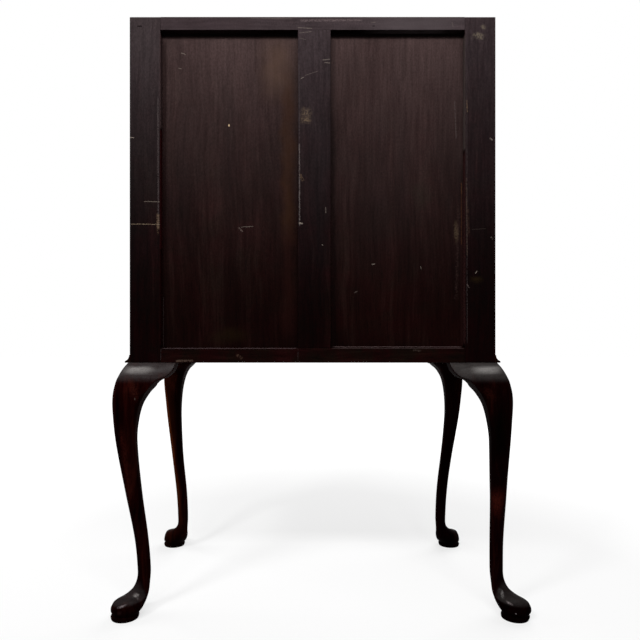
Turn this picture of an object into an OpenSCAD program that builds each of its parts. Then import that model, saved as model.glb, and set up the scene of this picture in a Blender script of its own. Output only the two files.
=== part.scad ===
// Fall-front secretaire on cabriole legs, with a framed and panelled back.
// The origin is on the floor, midway between the outermost edges of the feet.
// The front faces -Y, the panelled back faces +Y, and left means the -X side.

/* [Carcass] */
// Width of the carcass over its sides
carcass_w = 760; // [660:5:860]
// Depth of the carcass from the front edge to the back face
carcass_d = 420; // [390:5:480]
// Height of the carcass without the legs
carcass_h = 718; // [680:1:800]
// Height of the carcass underside above the floor
leg_h = 525; // [470:5:560]
// Thickness of the two sides
side_t = 20; // [16:1:24]
// Thickness of the top board
top_t = 20; // [16:1:24]
// Thickness of the bottom board
bottom_t = 20; // [16:1:24]
// Depth of the housings that the boards sit in
housing = 6; // [4:1:8]
// Height of the writing surface above the floor
desk_h = 765; // [745:1:790]

/* [Framed back] */
// Thickness of the frame
frame_t = 22; // [18:1:26]
// Width of the two outer stiles
stile_w = 64; // [50:1:80]
// Width of the middle muntin
muntin_w = 68; // [50:1:80]
// How far the muntin stands off the middle, to the left
muntin_off = 3.5; // [0:0.5:8]
// Height of the top rail
top_rail_h = 27; // [22:1:40]
// Height of the bottom rail
bottom_rail_h = 31; // [22:1:45]
// Thickness of the two thin panels
panel_t = 7; // [5:1:9]
// Width of the rebate that the panels lie in
rebate_w = 9; // [6:1:12]
// Length of the tenons on the rails and the muntin
tenon_l = 18; // [10:1:24]
// Thickness of those tenons
tenon_t = 7; // [5:1:9]

/* [Base moulding] */
// Height of the cove moulding
moulding_h = 16; // [13:1:20]
// Projection of the cove moulding
moulding_out = 10; // [8:1:14]
// Width of the flat at the top of the cove
moulding_flat = 1; // [0.5:0.5:2]
// Height of the lip below the cove
moulding_lip = 2.5; // [2:0.5:4]

/* [Cabriole legs] */
// How far the knee stands out from the side of the carcass
knee_out = 31.5; // [28:0.5:38]
// Depth of the knee's fullest point below the carcass
knee_drop = 63; // [56:1:72]
// How far the square top of a leg reaches in from the side of the carcass
block_in = 50; // [46:1:56]
// Thickness of the ankle
ankle_d = 27; // [25:1:34]
// Height of the ankle above the floor
ankle_h = 88; // [80:1:100]
// How far the middle of the ankle lies in from the side of the carcass
ankle_in = 23.8; // [20:0.2:26]
// How far the toe stands out from the side of the carcass
toe_out = 38; // [34:1:42]
// Height of the toe above the floor
toe_h = 17; // [15:1:20]
// Diameter of the round pad under the foot
pad_d = 57; // [52:1:60]
// Thickness of that pad
pad_t = 6; // [4:1:8]
// How far the middle of the pad lies out from the side of the carcass
pad_out = 7; // [4:1:10]
// How far the rear left foot splays out
rear_left_splay = 34; // [0:1:40]
// How far the front left knee leans out
front_left_lean = 9; // [0:1:18]
// Length of the knee brackets on the rear legs, from the side of the carcass
rear_bracket = 96; // [88:1:110]
// Length of the knee brackets on the front legs, from the side of the carcass
front_bracket = 76; // [68:1:90]
// Diameter of the dowels that fix the legs
dowel_d = 14; // [10:1:16]
// Length of those dowels
dowel_l = 30; // [24:1:34]

/* [Fall front] */
// Thickness of the fall
fall_t = 22; // [20:1:26]
// Gap round the closed fall
fall_gap = 1; // [0.5:0.5:2]
// Width of the clamps across the ends of the fall
clamp_w = 58; // [50:1:80]
// Margin round the writing leather
leather_margin = 46; // [36:1:60]
// Thickness of the writing leather
leather_t = 1.5; // [1:0.5:2]
// Diameter of the pivot pins of the fall
pivot_d = 6; // [5:1:8]
// Clearance round a pin that turns
pin_gap = 0.05; // [0.03:0.01:0.08]
// Gap between the quadrant stays and the gallery
stay_gap = 6; // [4:1:12]
// Width of the quadrant strip
stay_w = 10; // [8:1:12]
// Thickness of the quadrant strip
stay_t = 3; // [2:0.5:4]
// Clearance beside a sliding brass piece
slide_gap = 0.5; // [0.3:0.1:0.8]

/* [Lock and key] */
// Width of the lock case
lock_w = 64; // [56:1:80]
// Height of the lock case
lock_h = 42; // [36:1:50]
// Depth of the lock case
lock_t = 12; // [11:1:14]
// Width of the lock bolt
bolt_w = 18; // [12:1:22]
// Thickness of the lock bolt
bolt_t = 5; // [4:1:6]
// Travel of the lock bolt
bolt_travel = 7; // [5:0.5:8]
// Diameter of the key shank
key_d = 5; // [4:0.5:6]

/* [Drawers] */
// Thickness of the rails between the drawers
rail_t = 18; // [14:1:22]
// Depth of the rails between the drawers
rail_d = 60; // [40:5:80]
// Share of the height for the two long drawers that the upper one takes
upper_share = 0.46; // [0.4:0.01:0.5]
// Thickness of the long drawer fronts
front_t = 20; // [18:1:24]
// Thickness of the long drawer sides and backs
drawer_side_t = 11; // [9:1:13]
// Thickness of the drawer bottoms
drawer_bottom_t = 6; // [5:1:8]
// Gap round a drawer front
drawer_gap = 1; // [0.5:0.5:2]
// Gap under a drawer
run_gap = 0.3; // [0.2:0.1:0.5]
// Gap behind the long drawers
drawer_back_gap = 28; // [20:2:60]
// Distance of each handle from the middle
handle_x = 210; // [160:5:250]
// Half the distance between the two posts of a handle
bail_r = 32; // [28:1:36]
// Thickness of the bail
bail_d = 5; // [4:0.5:6]
// How far the bail stands in front of the drawer
bail_out = 13; // [10:1:18]

/* [Gallery] */
// Distance of the fitted gallery behind the closed fall
gallery_setback = 150; // [140:2:170]
// Thickness of the gallery ends
gallery_end_t = 10; // [9:1:12]
// Thickness of the gallery shelves
gallery_t = 8; // [6:1:10]
// Thickness of the gallery dividers
divider_t = 6; // [5:1:8]
// Height of the row of small drawers
small_h = 84; // [70:1:100]
// Width of each small drawer opening
small_w = 200; // [160:2:220]
// Height of the pigeonholes
pigeon_h = 205; // [170:5:220]
// Number of pigeonholes
pigeon_n = 6; // [4:1:7]
// Height of the shaped valances
valance_h = 30; // [24:1:40]
// Diameter of the small drawer knobs
knob_d = 15; // [12:1:20]

/* [Hidden] */
$fn = 48;
MAHOGANY = "#3b2320";
DARK_WOOD = "#2c1c1a";
DRAWER_WOOD = "#7a5a3c";
BRASS = "#a8874a";
STEEL = "#8a8680";
LEATHER = "#4b3a22";

// Places in the carcass
housing_stop = 8;
side_x = carcass_w / 2;
inner_x = side_x - side_t;
front_y = -carcass_d / 2;
back_y = carcass_d / 2;
inside_y = back_y - frame_t;
top_z = leg_h + carcass_h;
ceiling_z = top_z - top_t;
floor_z = leg_h + bottom_t;
row_shift = rear_left_splay / 2;

// Places of the fall, whose pin lies in the middle of its thickness
fall_in_y = front_y + fall_t;
pin_y = front_y + fall_t / 2;
fall_low = desk_h - fall_t;
pin_z = fall_low + fall_t / 2;
fall_half = inner_x - fall_gap;
fall_top = ceiling_z - fall_gap;
desk_low = fall_low - fall_gap / 2;
leather_low = desk_h + leather_margin / 2;
leather_high = fall_top - lock_h - leather_margin / 2;
leather_half = fall_half - clamp_w - leather_margin / 3;

// Places of the stays
stay_r = gallery_setback + fall_t / 2 - stay_w / 2 - stay_gap;
stay_side = 5;
stay_x = inner_x - stay_side;
slot_room = 1.5;
lug_d = 6;
lug_l = 6;
guide_t = 4;
guide_w = 7;
guide_h = 28;
guide_in = 2;
guide_back = fall_t / 2 + guide_in + guide_t;
lug_low = asin((guide_back + lug_d / 2 + slide_gap) / stay_r);
stay_tail = lug_low + 1.5;
stay_top = acos((fall_t / 2) / stay_r);

// Places of the drawers
rail_high = desk_low;
upper_top = rail_high - rail_t;
upper_opening = upper_share * (rail_high - 2 * rail_t - floor_z);
drawer_d = inside_y - front_y - drawer_back_gap;
upper_low = upper_top - upper_opening;
lower_top = upper_low - rail_t;
small_front_t = 12;
small_side_t = 6;
small_bottom_t = 4;
small_inset = 1;
small_drop = 6;
small_short = 8;
knob_peg_d = 6;

// Places of the gallery
gallery_y = fall_in_y + gallery_setback;
gallery_in = inner_x - gallery_end_t;
shelf_z = desk_h + small_h;
pigeon_z = shelf_z + gallery_t;
gallery_top_z = pigeon_z + pigeon_h;
pigeon_w = (2 * gallery_in - (pigeon_n - 1) * divider_t) / pigeon_n;
small_middle_x = gallery_in - small_w / 2;
knob_out = 16;
knob_base_t = 2;

// Sizes of the brass pieces
pivot_plate_t = 3;
pivot_plate_w = 14;
pivot_plate_h = 34;
pivot_l = 8;
post_d = 9;
post_eye = 7;
post_shank_d = 6;
handle_plate_d = 30;
handle_plate_t = 1.5;
bail_pin_d = 3;
key_z = fall_top - lock_h / 2 - 2;
key_low = 10;
slot_gap = 0.4;
keyhole_w = 3.2;
escutcheon_t = 1.2;
escutcheon_d = 20;
escutcheon_low_d = 14;
escutcheon_drop = 12;
strike_t = 2;
strike_w = 56;
strike_d = 16;

// Helpers

// Moves the model so that its outermost feet lie evenly about the origin
module on_floor() {
    translate([row_shift, 0, 0]) children();
}

// A box given by its lowest and highest corners
module box(low, high) {
    translate(low) cube(high - low);
}

// Extrudes a shape drawn in Y and Z along X
module along_x(x0, x1) {
    translate([x0, 0, 0]) rotate([90, 0, 90]) linear_extrude(x1 - x0) children();
}

// Extrudes a shape drawn in X and Z along Y
module along_y(y0, y1) {
    translate([0, y1, 0]) rotate([90, 0, 0]) linear_extrude(y1 - y0) children();
}

// A rod along X or along Y
module rod_x(x0, x1, d) {
    translate([x0, 0, 0]) rotate([0, 90, 0]) cylinder(d = d, h = x1 - x0);
}
module rod_y(y0, y1, d) {
    translate([0, y1, 0]) rotate([90, 0, 0]) cylinder(d = d, h = y1 - y0);
}

// A copy on each side of the middle
module both_sides() {
    children();
    mirror([1, 0, 0]) children();
}

// Smooth curve through hand-set stations, each a height and a value
function slope(s, i) =
    let (a = max(i - 1, 0), b = min(i + 1, len(s) - 1))
    (s[b][1] - s[a][1]) / (s[b][0] - s[a][0]);
function span_at(s, z, i = 0) =
    (i >= len(s) - 2 || z <= s[i + 1][0]) ? i : span_at(s, z, i + 1);
function curve(s, z) =
    let (i = span_at(s, z), d = s[i + 1][0] - s[i][0],
        t = min(max((z - s[i][0]) / d, 0), 1),
        a = s[i][1], b = s[i + 1][1], ma = slope(s, i) * d, mb = slope(s, i + 1) * d)
    a * (1 + 2 * t) * (1 - t) * (1 - t) + ma * t * (1 - t) * (1 - t)
    + b * t * t * (3 - 2 * t) + mb * t * t * (t - 1);
function ease(t) = 0.5 - 0.5 * cos(180 * min(max(t, 0), 1));

// Closed solid through rings of points, each ring with as many points
module loft(rings) {
    n = len(rings[0]);
    m = len(rings);
    points = [for (r = rings) for (p = r) p];
    sides = [for (j = [0 : m - 2]) for (i = [0 : n - 1])
        let (a = j * n + i, b = j * n + (i + 1) % n)
        each [[a, b, b + n], [a, b + n, a + n]]];
    low = [for (i = [n - 1 : -1 : 0]) i];
    high = [for (i = [0 : n - 1]) (m - 1) * n + i];
    polyhedron(points = points, faces = concat([low, high], [for (f = sides) f]));
}

// Cabriole legs

// One millimetre of the drawn profiles, which were drawn for a leg 520 high
unit = leg_h / 520;

// Side profile of a leg: how far its outer and its inner edge lie out from the
// side of the carcass. Both faces of a leg are cut to the same profile.
knee_z = leg_h - knee_drop;
shin = knee_z - ankle_h;
ankle_r = ankle_d / 2;
pad_r = pad_d / 2;
outer_edge = [
    [0, pad_out + pad_r - 1.5 * unit],
    [pad_t - unit, pad_out + pad_r],
    [pad_t + 2 * unit, pad_out + pad_r - 2.5 * unit],
    [toe_h - 4 * unit, toe_out - 2.8 * unit],
    [toe_h + 4 * unit, toe_out - 3.4 * unit],
    [toe_h + 10 * unit, toe_out - 6 * unit],
    [toe_h + 15 * unit, toe_out - 9.5 * unit],
    [toe_h + 19 * unit, toe_out - 19.5 * unit],
    [toe_h + 25 * unit, ankle_r - ankle_in + 16.8 * unit],
    [ankle_h - 37 * unit, ankle_r - ankle_in + 7.3 * unit],
    [ankle_h - 20 * unit, ankle_r - ankle_in + 1.2 * unit],
    [ankle_h, ankle_r - ankle_in],
    [ankle_h + 0.18 * shin, 0.84 * (ankle_r - ankle_in) + 3.2 * unit],
    [ankle_h + 0.45 * shin, 0.42 * knee_out - 3.5 * unit],
    [ankle_h + 0.73 * shin, 0.79 * knee_out],
    [knee_z - 30 * unit, knee_out - 0.5 * unit],
    [knee_z, knee_out - 0.5 * unit],
    [knee_z + 0.35 * knee_drop, knee_out - 4.6 * unit],
    [knee_z + 0.6 * knee_drop, knee_out - 11.2 * unit],
    [leg_h - 11 * unit, 12.2 * unit],
    [leg_h, 4 * unit]
];
function inner_edge(rear) = [
    [0, pad_out - pad_r + 1.5 * unit],
    [pad_t - unit, pad_out - pad_r],
    [pad_t + 2 * unit, pad_out - pad_r],
    [toe_h, -ankle_in - 2.7 * unit],
    [toe_h + 15 * unit, -ankle_in - 8.8 * unit],
    [ankle_h - 30 * unit, -ankle_in - ankle_r + 1.8 * unit],
    [ankle_h, -ankle_in - ankle_r],
    [ankle_h + 0.18 * shin, -ankle_in - 9.3 * unit],
    [ankle_h + 0.45 * shin, -(rear ? 22.9 : 19.3) * unit],
    [ankle_h + 0.73 * shin, -(rear ? 16 : 11.3) * unit],
    [knee_z - 62 * unit, -(rear ? 18.1 : 11) * unit],
    [knee_z - 25 * unit, -(rear ? 25.6 : 13.3) * unit],
    [knee_z, -(rear ? 38 : 17.4) * unit],
    [knee_z + 16 * unit, rear ? -block_in : -22.3 * unit],
    [knee_z + 34 * unit, rear ? -block_in : -32.5 * unit],
    [knee_z + 50 * unit, -block_in],
    [leg_h, -block_in]
];

// Roundness of the corners of a section: 1 is round, near 0 is square
outer_round = [[0, 1], [ankle_h, 1], [ankle_h + 0.4 * shin, 0.9],
    [knee_z - 20 * unit, 0.72], [knee_z + 15 * unit, 0.62], [leg_h, 0.3]];
side_round = [[0, 1], [ankle_h, 1], [ankle_h + 0.4 * shin, 0.8], [knee_z - 60 * unit, 0.5],
    [knee_z - 10 * unit, 0.22], [knee_z + 12 * unit, 0.03], [leg_h, 0.03]];
// Width across the diagonal against the length along it, least at the instep
slimness = [[0, 1], [toe_h - 4 * unit, 1], [toe_h + 12 * unit, 0.84],
    [toe_h + 24 * unit, 0.8], [ankle_h - 20 * unit, 0.97], [ankle_h, 1], [leg_h, 1]];

ring_heights = [0, unit, pad_t - unit,
    for (d = [0.5, 2, 4.5]) pad_t + d * unit,
    for (d = [-4, 0, 4, 8, 11, 14, 17, 20, 24]) toe_h + d * unit,
    for (d = [-38, -28, -14]) ankle_h + d * unit,
    for (k = [0 : 10]) ankle_h + k * (shin - 60 * unit) / 10,
    for (d = [-45, -30, -15, 0, 8, 16, 25, 34, 42, 50]) knee_z + d * unit,
    leg_h - 6 * unit, leg_h];
corner_steps = 5;

// One quarter of a section, as a rounded corner in the direction (su, sv)
function corner(mid, half, r, first) =
    [for (k = [0 : corner_steps]) let (a = first + 90 * k / corner_steps)
        [mid + (half - r) * sign(cos(first + 45)) + r * cos(a),
         mid + (half - r) * sign(sin(first + 45)) + r * sin(a)]];
function slim(p, mid, q) =
    let (d = (p[0] + p[1] - 2 * mid) / 2, e = (p[0] - p[1]) / 2, w = sqrt(2 - q * q))
    [mid + d * w + e * q, mid + d * w - e * q];
function leg_ring(z, rear, splay, lean) =
    let (o = curve(outer_edge, z), i = max(curve(inner_edge(rear), z), -block_in),
        mid = (o + i) / 2, half = (o - i) / 2,
        ro = half * curve(outer_round, z), rs = half * curve(side_round, z),
        q = curve(slimness, z),
        bend = knee_z - knee_out, lean_z = ankle_h + shin / 4,
        du = splay * ease((bend - z) / (bend - 40 * unit))
            + lean * ease((z - lean_z) / (0.65 * shin)) * (1 - 0.7 * ease((z - knee_z) / knee_drop)))
    [for (p = concat(corner(mid, half, ro, 0), corner(mid, half, rs, 90),
        corner(mid, half, ro, 180), corner(mid, half, rs, 270)))
        let (s = slim(p, mid, q)) [s[0] + du, s[1], z]];

// A leg at the +X and +Y corner, in its own directions
module leg(rear, splay, lean) {
    difference() {
        translate([side_x, back_y, 0])
            loft([for (z = ring_heights) leg_ring(z, rear, splay, lean)]);
        translate([dowel_x, dowel_y, leg_h - dowel_l / 2 - 1])
            cylinder(d = dowel_d, h = dowel_l);
    }
}
dowel_x = side_x - block_in / 2 - 4;
dowel_y = back_y - block_in / 2 - 4;

// Mirrors a piece from the +X and +Y corner into another corner
module to_corner(left, front) {
    mirror([left ? 1 : 0, 0, 0]) mirror([0, front ? 1 : 0, 0]) children();
}

module leg_front_left() {
    color(MAHOGANY) on_floor() to_corner(true, true) leg(false, 0, front_left_lean);
}
module leg_front_right() {
    color(MAHOGANY) on_floor() to_corner(false, true) leg(false, 0, 0);
}
module leg_rear_left() {
    color(MAHOGANY) on_floor() to_corner(true, false) leg(true, rear_left_splay, 0);
}
module leg_rear_right() {
    color(MAHOGANY) on_floor() to_corner(false, false) leg(true, 0, 0);
}
module leg_dowels() {
    color(DRAWER_WOOD) on_floor()
        for (left = [false, true]) for (front = [false, true]) to_corner(left, front)
            translate([dowel_x, dowel_y, leg_h - dowel_l / 2])
                cylinder(d = dowel_d - 2 * pin_gap, h = dowel_l - 1);
}

// Knee brackets

// Lower edges of the brackets, as height below the carcass at a distance from
// its side: a concave sweep, and on the rear ones a rounded lobe beyond it
rear_edge = [[block_in, knee_drop - 16 * unit], [block_in + 8 * unit, 38.5 * unit],
    [block_in + 16 * unit, 34 * unit], [block_in + 24 * unit, 31 * unit],
    [rear_bracket - 14 * unit, 26 * unit], [rear_bracket - 6 * unit, 17 * unit],
    [rear_bracket - 2 * unit, 9 * unit], [rear_bracket, 2 * unit]];
front_edge = [[block_in, 13 * unit], [block_in + 5 * unit, 10 * unit],
    [block_in + 10 * unit, 7.2 * unit], [block_in + 18 * unit, 3.6 * unit],
    [front_bracket, 1.5 * unit]];
bracket_in = 24;
bracket_fade = 0.3;
bracket_bead = 2;
bracket_steps = 9;
rows = 7;

// One section across a rear bracket, at distance s in from the side
function bracket_ring(s, reach) =
    let (drop = curve(rear_edge, s), f = 1 - bracket_fade * ease((s - block_in) / reach),
        low = leg_h - drop)
    concat([[-s, -bracket_in, leg_h], [-s, -bracket_in, low]],
        [for (k = [0 : rows]) let (z = low + drop * k / rows)
            [-s, f * curve(outer_edge, z) - (k == 0 ? bracket_bead : 0), z]]);
// The same section, for the bracket on the side of the carcass
function turned(ring) = [for (i = [len(ring) - 1 : -1 : 0]) [ring[i][1], ring[i][0], ring[i][2]]];

// The two brackets of a rear leg: one on the back, one on the side
module rear_brackets() {
    reach = rear_bracket - block_in;
    rings = [for (k = [0 : bracket_steps]) bracket_ring(block_in + reach * k / bracket_steps, reach)];
    translate([side_x, back_y, 0]) {
        loft(rings);
        loft([for (r = rings) turned(r)]);
    }
}

// A front bracket is its lower edge cut through a straight length of moulding
module front_bracket_piece() {
    reach = front_bracket - block_in;
    drop = front_edge[0][1];
    steps = [for (k = [0 : bracket_steps]) block_in + reach * k / bracket_steps];
    levels = [for (k = [0 : rows]) leg_h - drop + drop * k / rows];
    intersection() {
        along_y(-bracket_in - 1, knee_out) polygon(concat([[-front_bracket, leg_h + 1],
            [-block_in, leg_h + 1]], [for (s = steps) [-s, leg_h - curve(front_edge, s)]]));
        along_x(-front_bracket, -block_in) polygon(concat([[-bracket_in, leg_h],
            [-bracket_in, leg_h - drop]], [for (z = levels) [curve(outer_edge, z), z]]));
    }
}
// The two brackets of a front leg
module front_brackets() {
    translate([side_x, back_y, 0]) {
        front_bracket_piece();
        mirror([1, -1, 0]) front_bracket_piece();
    }
}
module brackets_front_left() {
    color(MAHOGANY) on_floor() to_corner(true, true) front_brackets();
}
module brackets_front_right() {
    color(MAHOGANY) on_floor() to_corner(false, true) front_brackets();
}
module brackets_rear_left() {
    color(MAHOGANY) on_floor() to_corner(true, false) rear_brackets();
}
module brackets_rear_right() {
    color(MAHOGANY) on_floor() to_corner(false, false) rear_brackets();
}

// Carcass boards

// Mortise in the top board above the lock bolt, with room for the strike
module strike_pocket(extra) {
    box([-strike_w / 2, fall_in_y - lock_t / 2 - strike_d / 2, ceiling_z - 1],
        [strike_w / 2, fall_in_y - lock_t / 2 + strike_d / 2, ceiling_z + strike_t]);
    box([-bolt_w / 2 - extra, bolt_y - bolt_t / 2 - extra, ceiling_z],
        [bolt_w / 2 + extra, bolt_y + bolt_t / 2 + extra, ceiling_z + bolt_travel + 3]);
}
bolt_y = fall_in_y - lock_t / 2;

module top_board() {
    color(MAHOGANY) on_floor() difference() {
        box([-side_x, front_y, ceiling_z], [side_x, inside_y, top_z]);
        strike_pocket(1);
    }
}

module side_board() {
    difference() {
        box([inner_x, front_y, leg_h], [side_x, inside_y, ceiling_z]);
        box([inner_x - 1, front_y + housing_stop, leg_h - 1],
            [inner_x + housing, inside_y + 1, floor_z]);
        box([inner_x - 1, fall_in_y + fall_gap / 2, desk_low],
            [inner_x + housing, inside_y + 1, desk_h]);
        for (z = [lower_top, upper_top])
            box([inner_x - 1, front_y + housing_stop, z],
                [inner_x + housing, front_y + rail_d, z + rail_t]);
        translate([inner_x, pin_y, pin_z]) rotate([90, 0, 90])
            translate([0, 0, -1]) linear_extrude(pivot_plate_t + 1) pivot_outline();
    }
}
module right_side() {
    color(MAHOGANY) on_floor() side_board();
}
module left_side() {
    color(MAHOGANY) on_floor() mirror([1, 0, 0]) side_board();
}

module bottom_board() {
    color(MAHOGANY) on_floor() difference() {
        union() {
            box([-inner_x, front_y, leg_h], [inner_x, inside_y, floor_z]);
            box([-inner_x - housing, front_y + housing_stop, leg_h],
                [inner_x + housing, inside_y, floor_z]);
        }
        for (left = [false, true]) for (front = [false, true]) to_corner(left, front)
            translate([dowel_x, dowel_y, leg_h - 1])
                cylinder(d = dowel_d, h = dowel_l / 2 + 1.5);
    }
}

// Slot in the writing board for the tail of a stay
module stay_slot() {
    near = sqrt(pow(stay_r - stay_w / 2, 2) - pow(fall_t / 2 + fall_gap, 2)) - slot_room;
    far = stay_r + stay_w / 2 + slot_room;
    half = lug_l / 2 + slide_gap;
    box([stay_x - half, pin_y + near, desk_low - 1], [stay_x + half, pin_y + far, desk_h + 1]);
}
module desk_board() {
    color(MAHOGANY) on_floor() difference() {
        box([-inner_x - housing, fall_in_y + fall_gap / 2, desk_low],
            [inner_x + housing, inside_y, desk_h]);
        both_sides() stay_slot();
    }
}

module drawer_rails() {
    color(MAHOGANY) on_floor() for (z = [lower_top, upper_top]) {
        box([-inner_x, front_y, z], [inner_x, front_y + rail_d, z + rail_t]);
        box([-inner_x - housing, front_y + housing_stop, z],
            [inner_x + housing, front_y + rail_d, z + rail_t]);
    }
}

// Runners under the upper drawer, and kickers over it
runner_w = 26;
runner_y = inside_y - 4;
module drawer_runners() {
    color(DRAWER_WOOD) on_floor() both_sides() {
        box([inner_x - runner_w, front_y + rail_d, lower_top],
            [inner_x, runner_y, lower_top + rail_t]);
        box([inner_x - runner_w, gallery_y, upper_top],
            [inner_x, runner_y, upper_top + rail_t]);
    }
}

// Framed back

// Places of the frame's edges
stile_x = side_x - stile_w;
back_low = leg_h + bottom_rail_h;
back_high = top_z - top_rail_h;
tongue_y = back_y - frame_t / 2;

// Distance of the muntin's left or right edge from the middle
function muntin_edge(left) = muntin_w / 2 + (left ? muntin_off : -muntin_off);

// Rebates round the two panel openings, on the inner face of the frame
module panel_rebate() {
    for (left = [false, true]) to_corner(left, false)
        box([muntin_edge(left) - rebate_w, inside_y - 1, back_low - rebate_w],
            [stile_x + rebate_w, inside_y + panel_t, back_high + rebate_w]);
}
tenon_shoulder = 5;
// Tenons of the rails, made larger by a gap for the mortises
module rail_tenons(z0, z1, gap) {
    both_sides() box([stile_x - 1, tongue_y - gap, z0 + tenon_shoulder - gap],
        [stile_x + tenon_l + gap, tongue_y + tenon_t + gap, z1 - tenon_shoulder + gap]);
}
// Tenons of the muntin in the two rails
muntin_tenon = 12;
module muntin_tenons(gap) {
    shoulder = rebate_w + tenon_shoulder;
    x0 = shoulder - muntin_edge(true) - gap;
    x1 = muntin_edge(false) - shoulder + gap;
    box([x0, tongue_y - gap, back_low - muntin_tenon - gap],
        [x1, tongue_y + tenon_t + gap, back_low + 1]);
    box([x0, tongue_y - gap, back_high - 1],
        [x1, tongue_y + tenon_t + gap, back_high + muntin_tenon + gap]);
}
mortise_gap = 0.2;

module back_stile() {
    difference() {
        box([stile_x, inside_y, leg_h], [side_x, back_y, top_z]);
        panel_rebate();
        rail_tenons(leg_h, back_low, mortise_gap);
        rail_tenons(back_high, top_z, mortise_gap);
    }
}
module back_right_stile() {
    color(DARK_WOOD) on_floor() back_stile();
}
module back_left_stile() {
    color(DARK_WOOD) on_floor() mirror([1, 0, 0]) back_stile();
}
module back_rail(z0, z1) {
    difference() {
        union() {
            box([-stile_x, inside_y, z0], [stile_x, back_y, z1]);
            rail_tenons(z0, z1, 0);
        }
        panel_rebate();
        muntin_tenons(mortise_gap);
    }
}
module back_bottom_rail() {
    color(DARK_WOOD) on_floor() back_rail(leg_h, back_low);
}
module back_top_rail() {
    color(DARK_WOOD) on_floor() back_rail(back_high, top_z);
}
module back_muntin() {
    color(DARK_WOOD) on_floor() difference() {
        union() {
            box([-muntin_edge(true), inside_y, back_low],
                [muntin_edge(false), back_y, back_high]);
            muntin_tenons(0);
        }
        panel_rebate();
    }
}
panel_gap = 1;
module back_panel(left) {
    box([muntin_edge(left) - rebate_w + panel_gap, inside_y, back_low - rebate_w + panel_gap],
        [stile_x + rebate_w - panel_gap, inside_y + panel_t, back_high + rebate_w - panel_gap]);
}
module back_right_panel() {
    color(MAHOGANY) on_floor() back_panel(false);
}
module back_left_panel() {
    color(MAHOGANY) on_floor() mirror([1, 0, 0]) back_panel(true);
}

// Base moulding

// Profile of the cove, with its flat back at zero
module cove_outline() {
    cove_r = moulding_h - moulding_lip;
    difference() {
        square([moulding_out, moulding_h]);
        translate([cove_r + moulding_flat, moulding_h]) circle(r = cove_r);
    }
}
// What lies beyond the mitre line of the two front corners
module mitre_wedge() {
    reach = 4 * moulding_out;
    both_sides() translate([side_x, front_y, leg_h - 1]) rotate([0, 0, 45])
        translate([0, -reach / 2, 0]) cube([reach, reach, moulding_h + 2]);
}
module base_front_moulding() {
    color(MAHOGANY) on_floor() difference() {
        translate([0, front_y, leg_h]) along_x(-side_x - moulding_out, side_x + moulding_out)
            mirror([1, 0]) cove_outline();
        mitre_wedge();
    }
}
module base_side_mouldings() {
    color(MAHOGANY) on_floor() intersection() {
        both_sides() translate([side_x, 0, leg_h])
            along_y(front_y - moulding_out, back_y) cove_outline();
        union() {
            mitre_wedge();
            box([-2 * side_x, front_y, leg_h - 1], [2 * side_x, back_y, leg_h + moulding_h + 1]);
        }
    }
}

// Gallery

module gallery_ends() {
    color(MAHOGANY) on_floor() both_sides()
        box([gallery_in, gallery_y, desk_h], [inner_x, inside_y, gallery_top_z]);
}
module gallery_shelf() {
    color(MAHOGANY) on_floor()
        box([-gallery_in, gallery_y, shelf_z], [gallery_in, inside_y, pigeon_z]);
}
module gallery_top() {
    color(MAHOGANY) on_floor()
        box([-inner_x, gallery_y, gallery_top_z], [inner_x, inside_y, gallery_top_z + gallery_t]);
}
divider_inset = 2;
// Left edge of a pigeonhole
function pigeon_x(i) = -gallery_in + i * (pigeon_w + divider_t);
module gallery_dividers() {
    color(MAHOGANY) on_floor() {
        for (i = [1 : pigeon_n - 1])
            box([pigeon_x(i) - divider_t, gallery_y + divider_inset, pigeon_z],
                [pigeon_x(i), inside_y, gallery_top_z]);
        both_sides() box([gallery_in - small_w - divider_t, gallery_y, desk_h],
            [gallery_in - small_w, inside_y, shelf_z]);
    }
}
// Arched valance with a small drop in the middle
module valance_outline() {
    arch_r = pigeon_w / 4;
    difference() {
        square([pigeon_w, valance_h]);
        for (x = [pigeon_w / 4, 3 * pigeon_w / 4])
            translate([x, valance_h * 0.42 - arch_r + 1]) circle(r = arch_r);
        translate([-1, -1]) square([pigeon_w + 2, 2]);
    }
}
valance_t = 5;
valance_inset = 4;
module gallery_valances() {
    color(MAHOGANY) on_floor() for (i = [0 : pigeon_n - 1])
        translate([pigeon_x(i), 0, gallery_top_z - valance_h])
            along_y(gallery_y + valance_inset, gallery_y + valance_inset + valance_t)
                valance_outline();
}

// Fall front

// Cross-section of the fall, round about its pin at the foot
module fall_outline() {
    translate([pin_y, pin_z]) circle(d = fall_t);
    translate([front_y, pin_z]) square([fall_t, fall_top - pin_z]);
}
clamp_tongue = 10;
clamp_tongue_t = 8;
clamp_stop = 30;
module clamp_groove(gap) {
    half = clamp_tongue_t / 2 + gap;
    box([fall_half - clamp_w - 1, pin_y - half, fall_low + clamp_stop - gap],
        [fall_half - clamp_w + clamp_tongue + gap, pin_y + half, fall_top - clamp_stop + gap]);
}
module lock_pocket() {
    box([-lock_w / 2, fall_in_y - lock_t, fall_top - lock_h],
        [lock_w / 2, fall_in_y + 1, fall_top + 1]);
}
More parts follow.
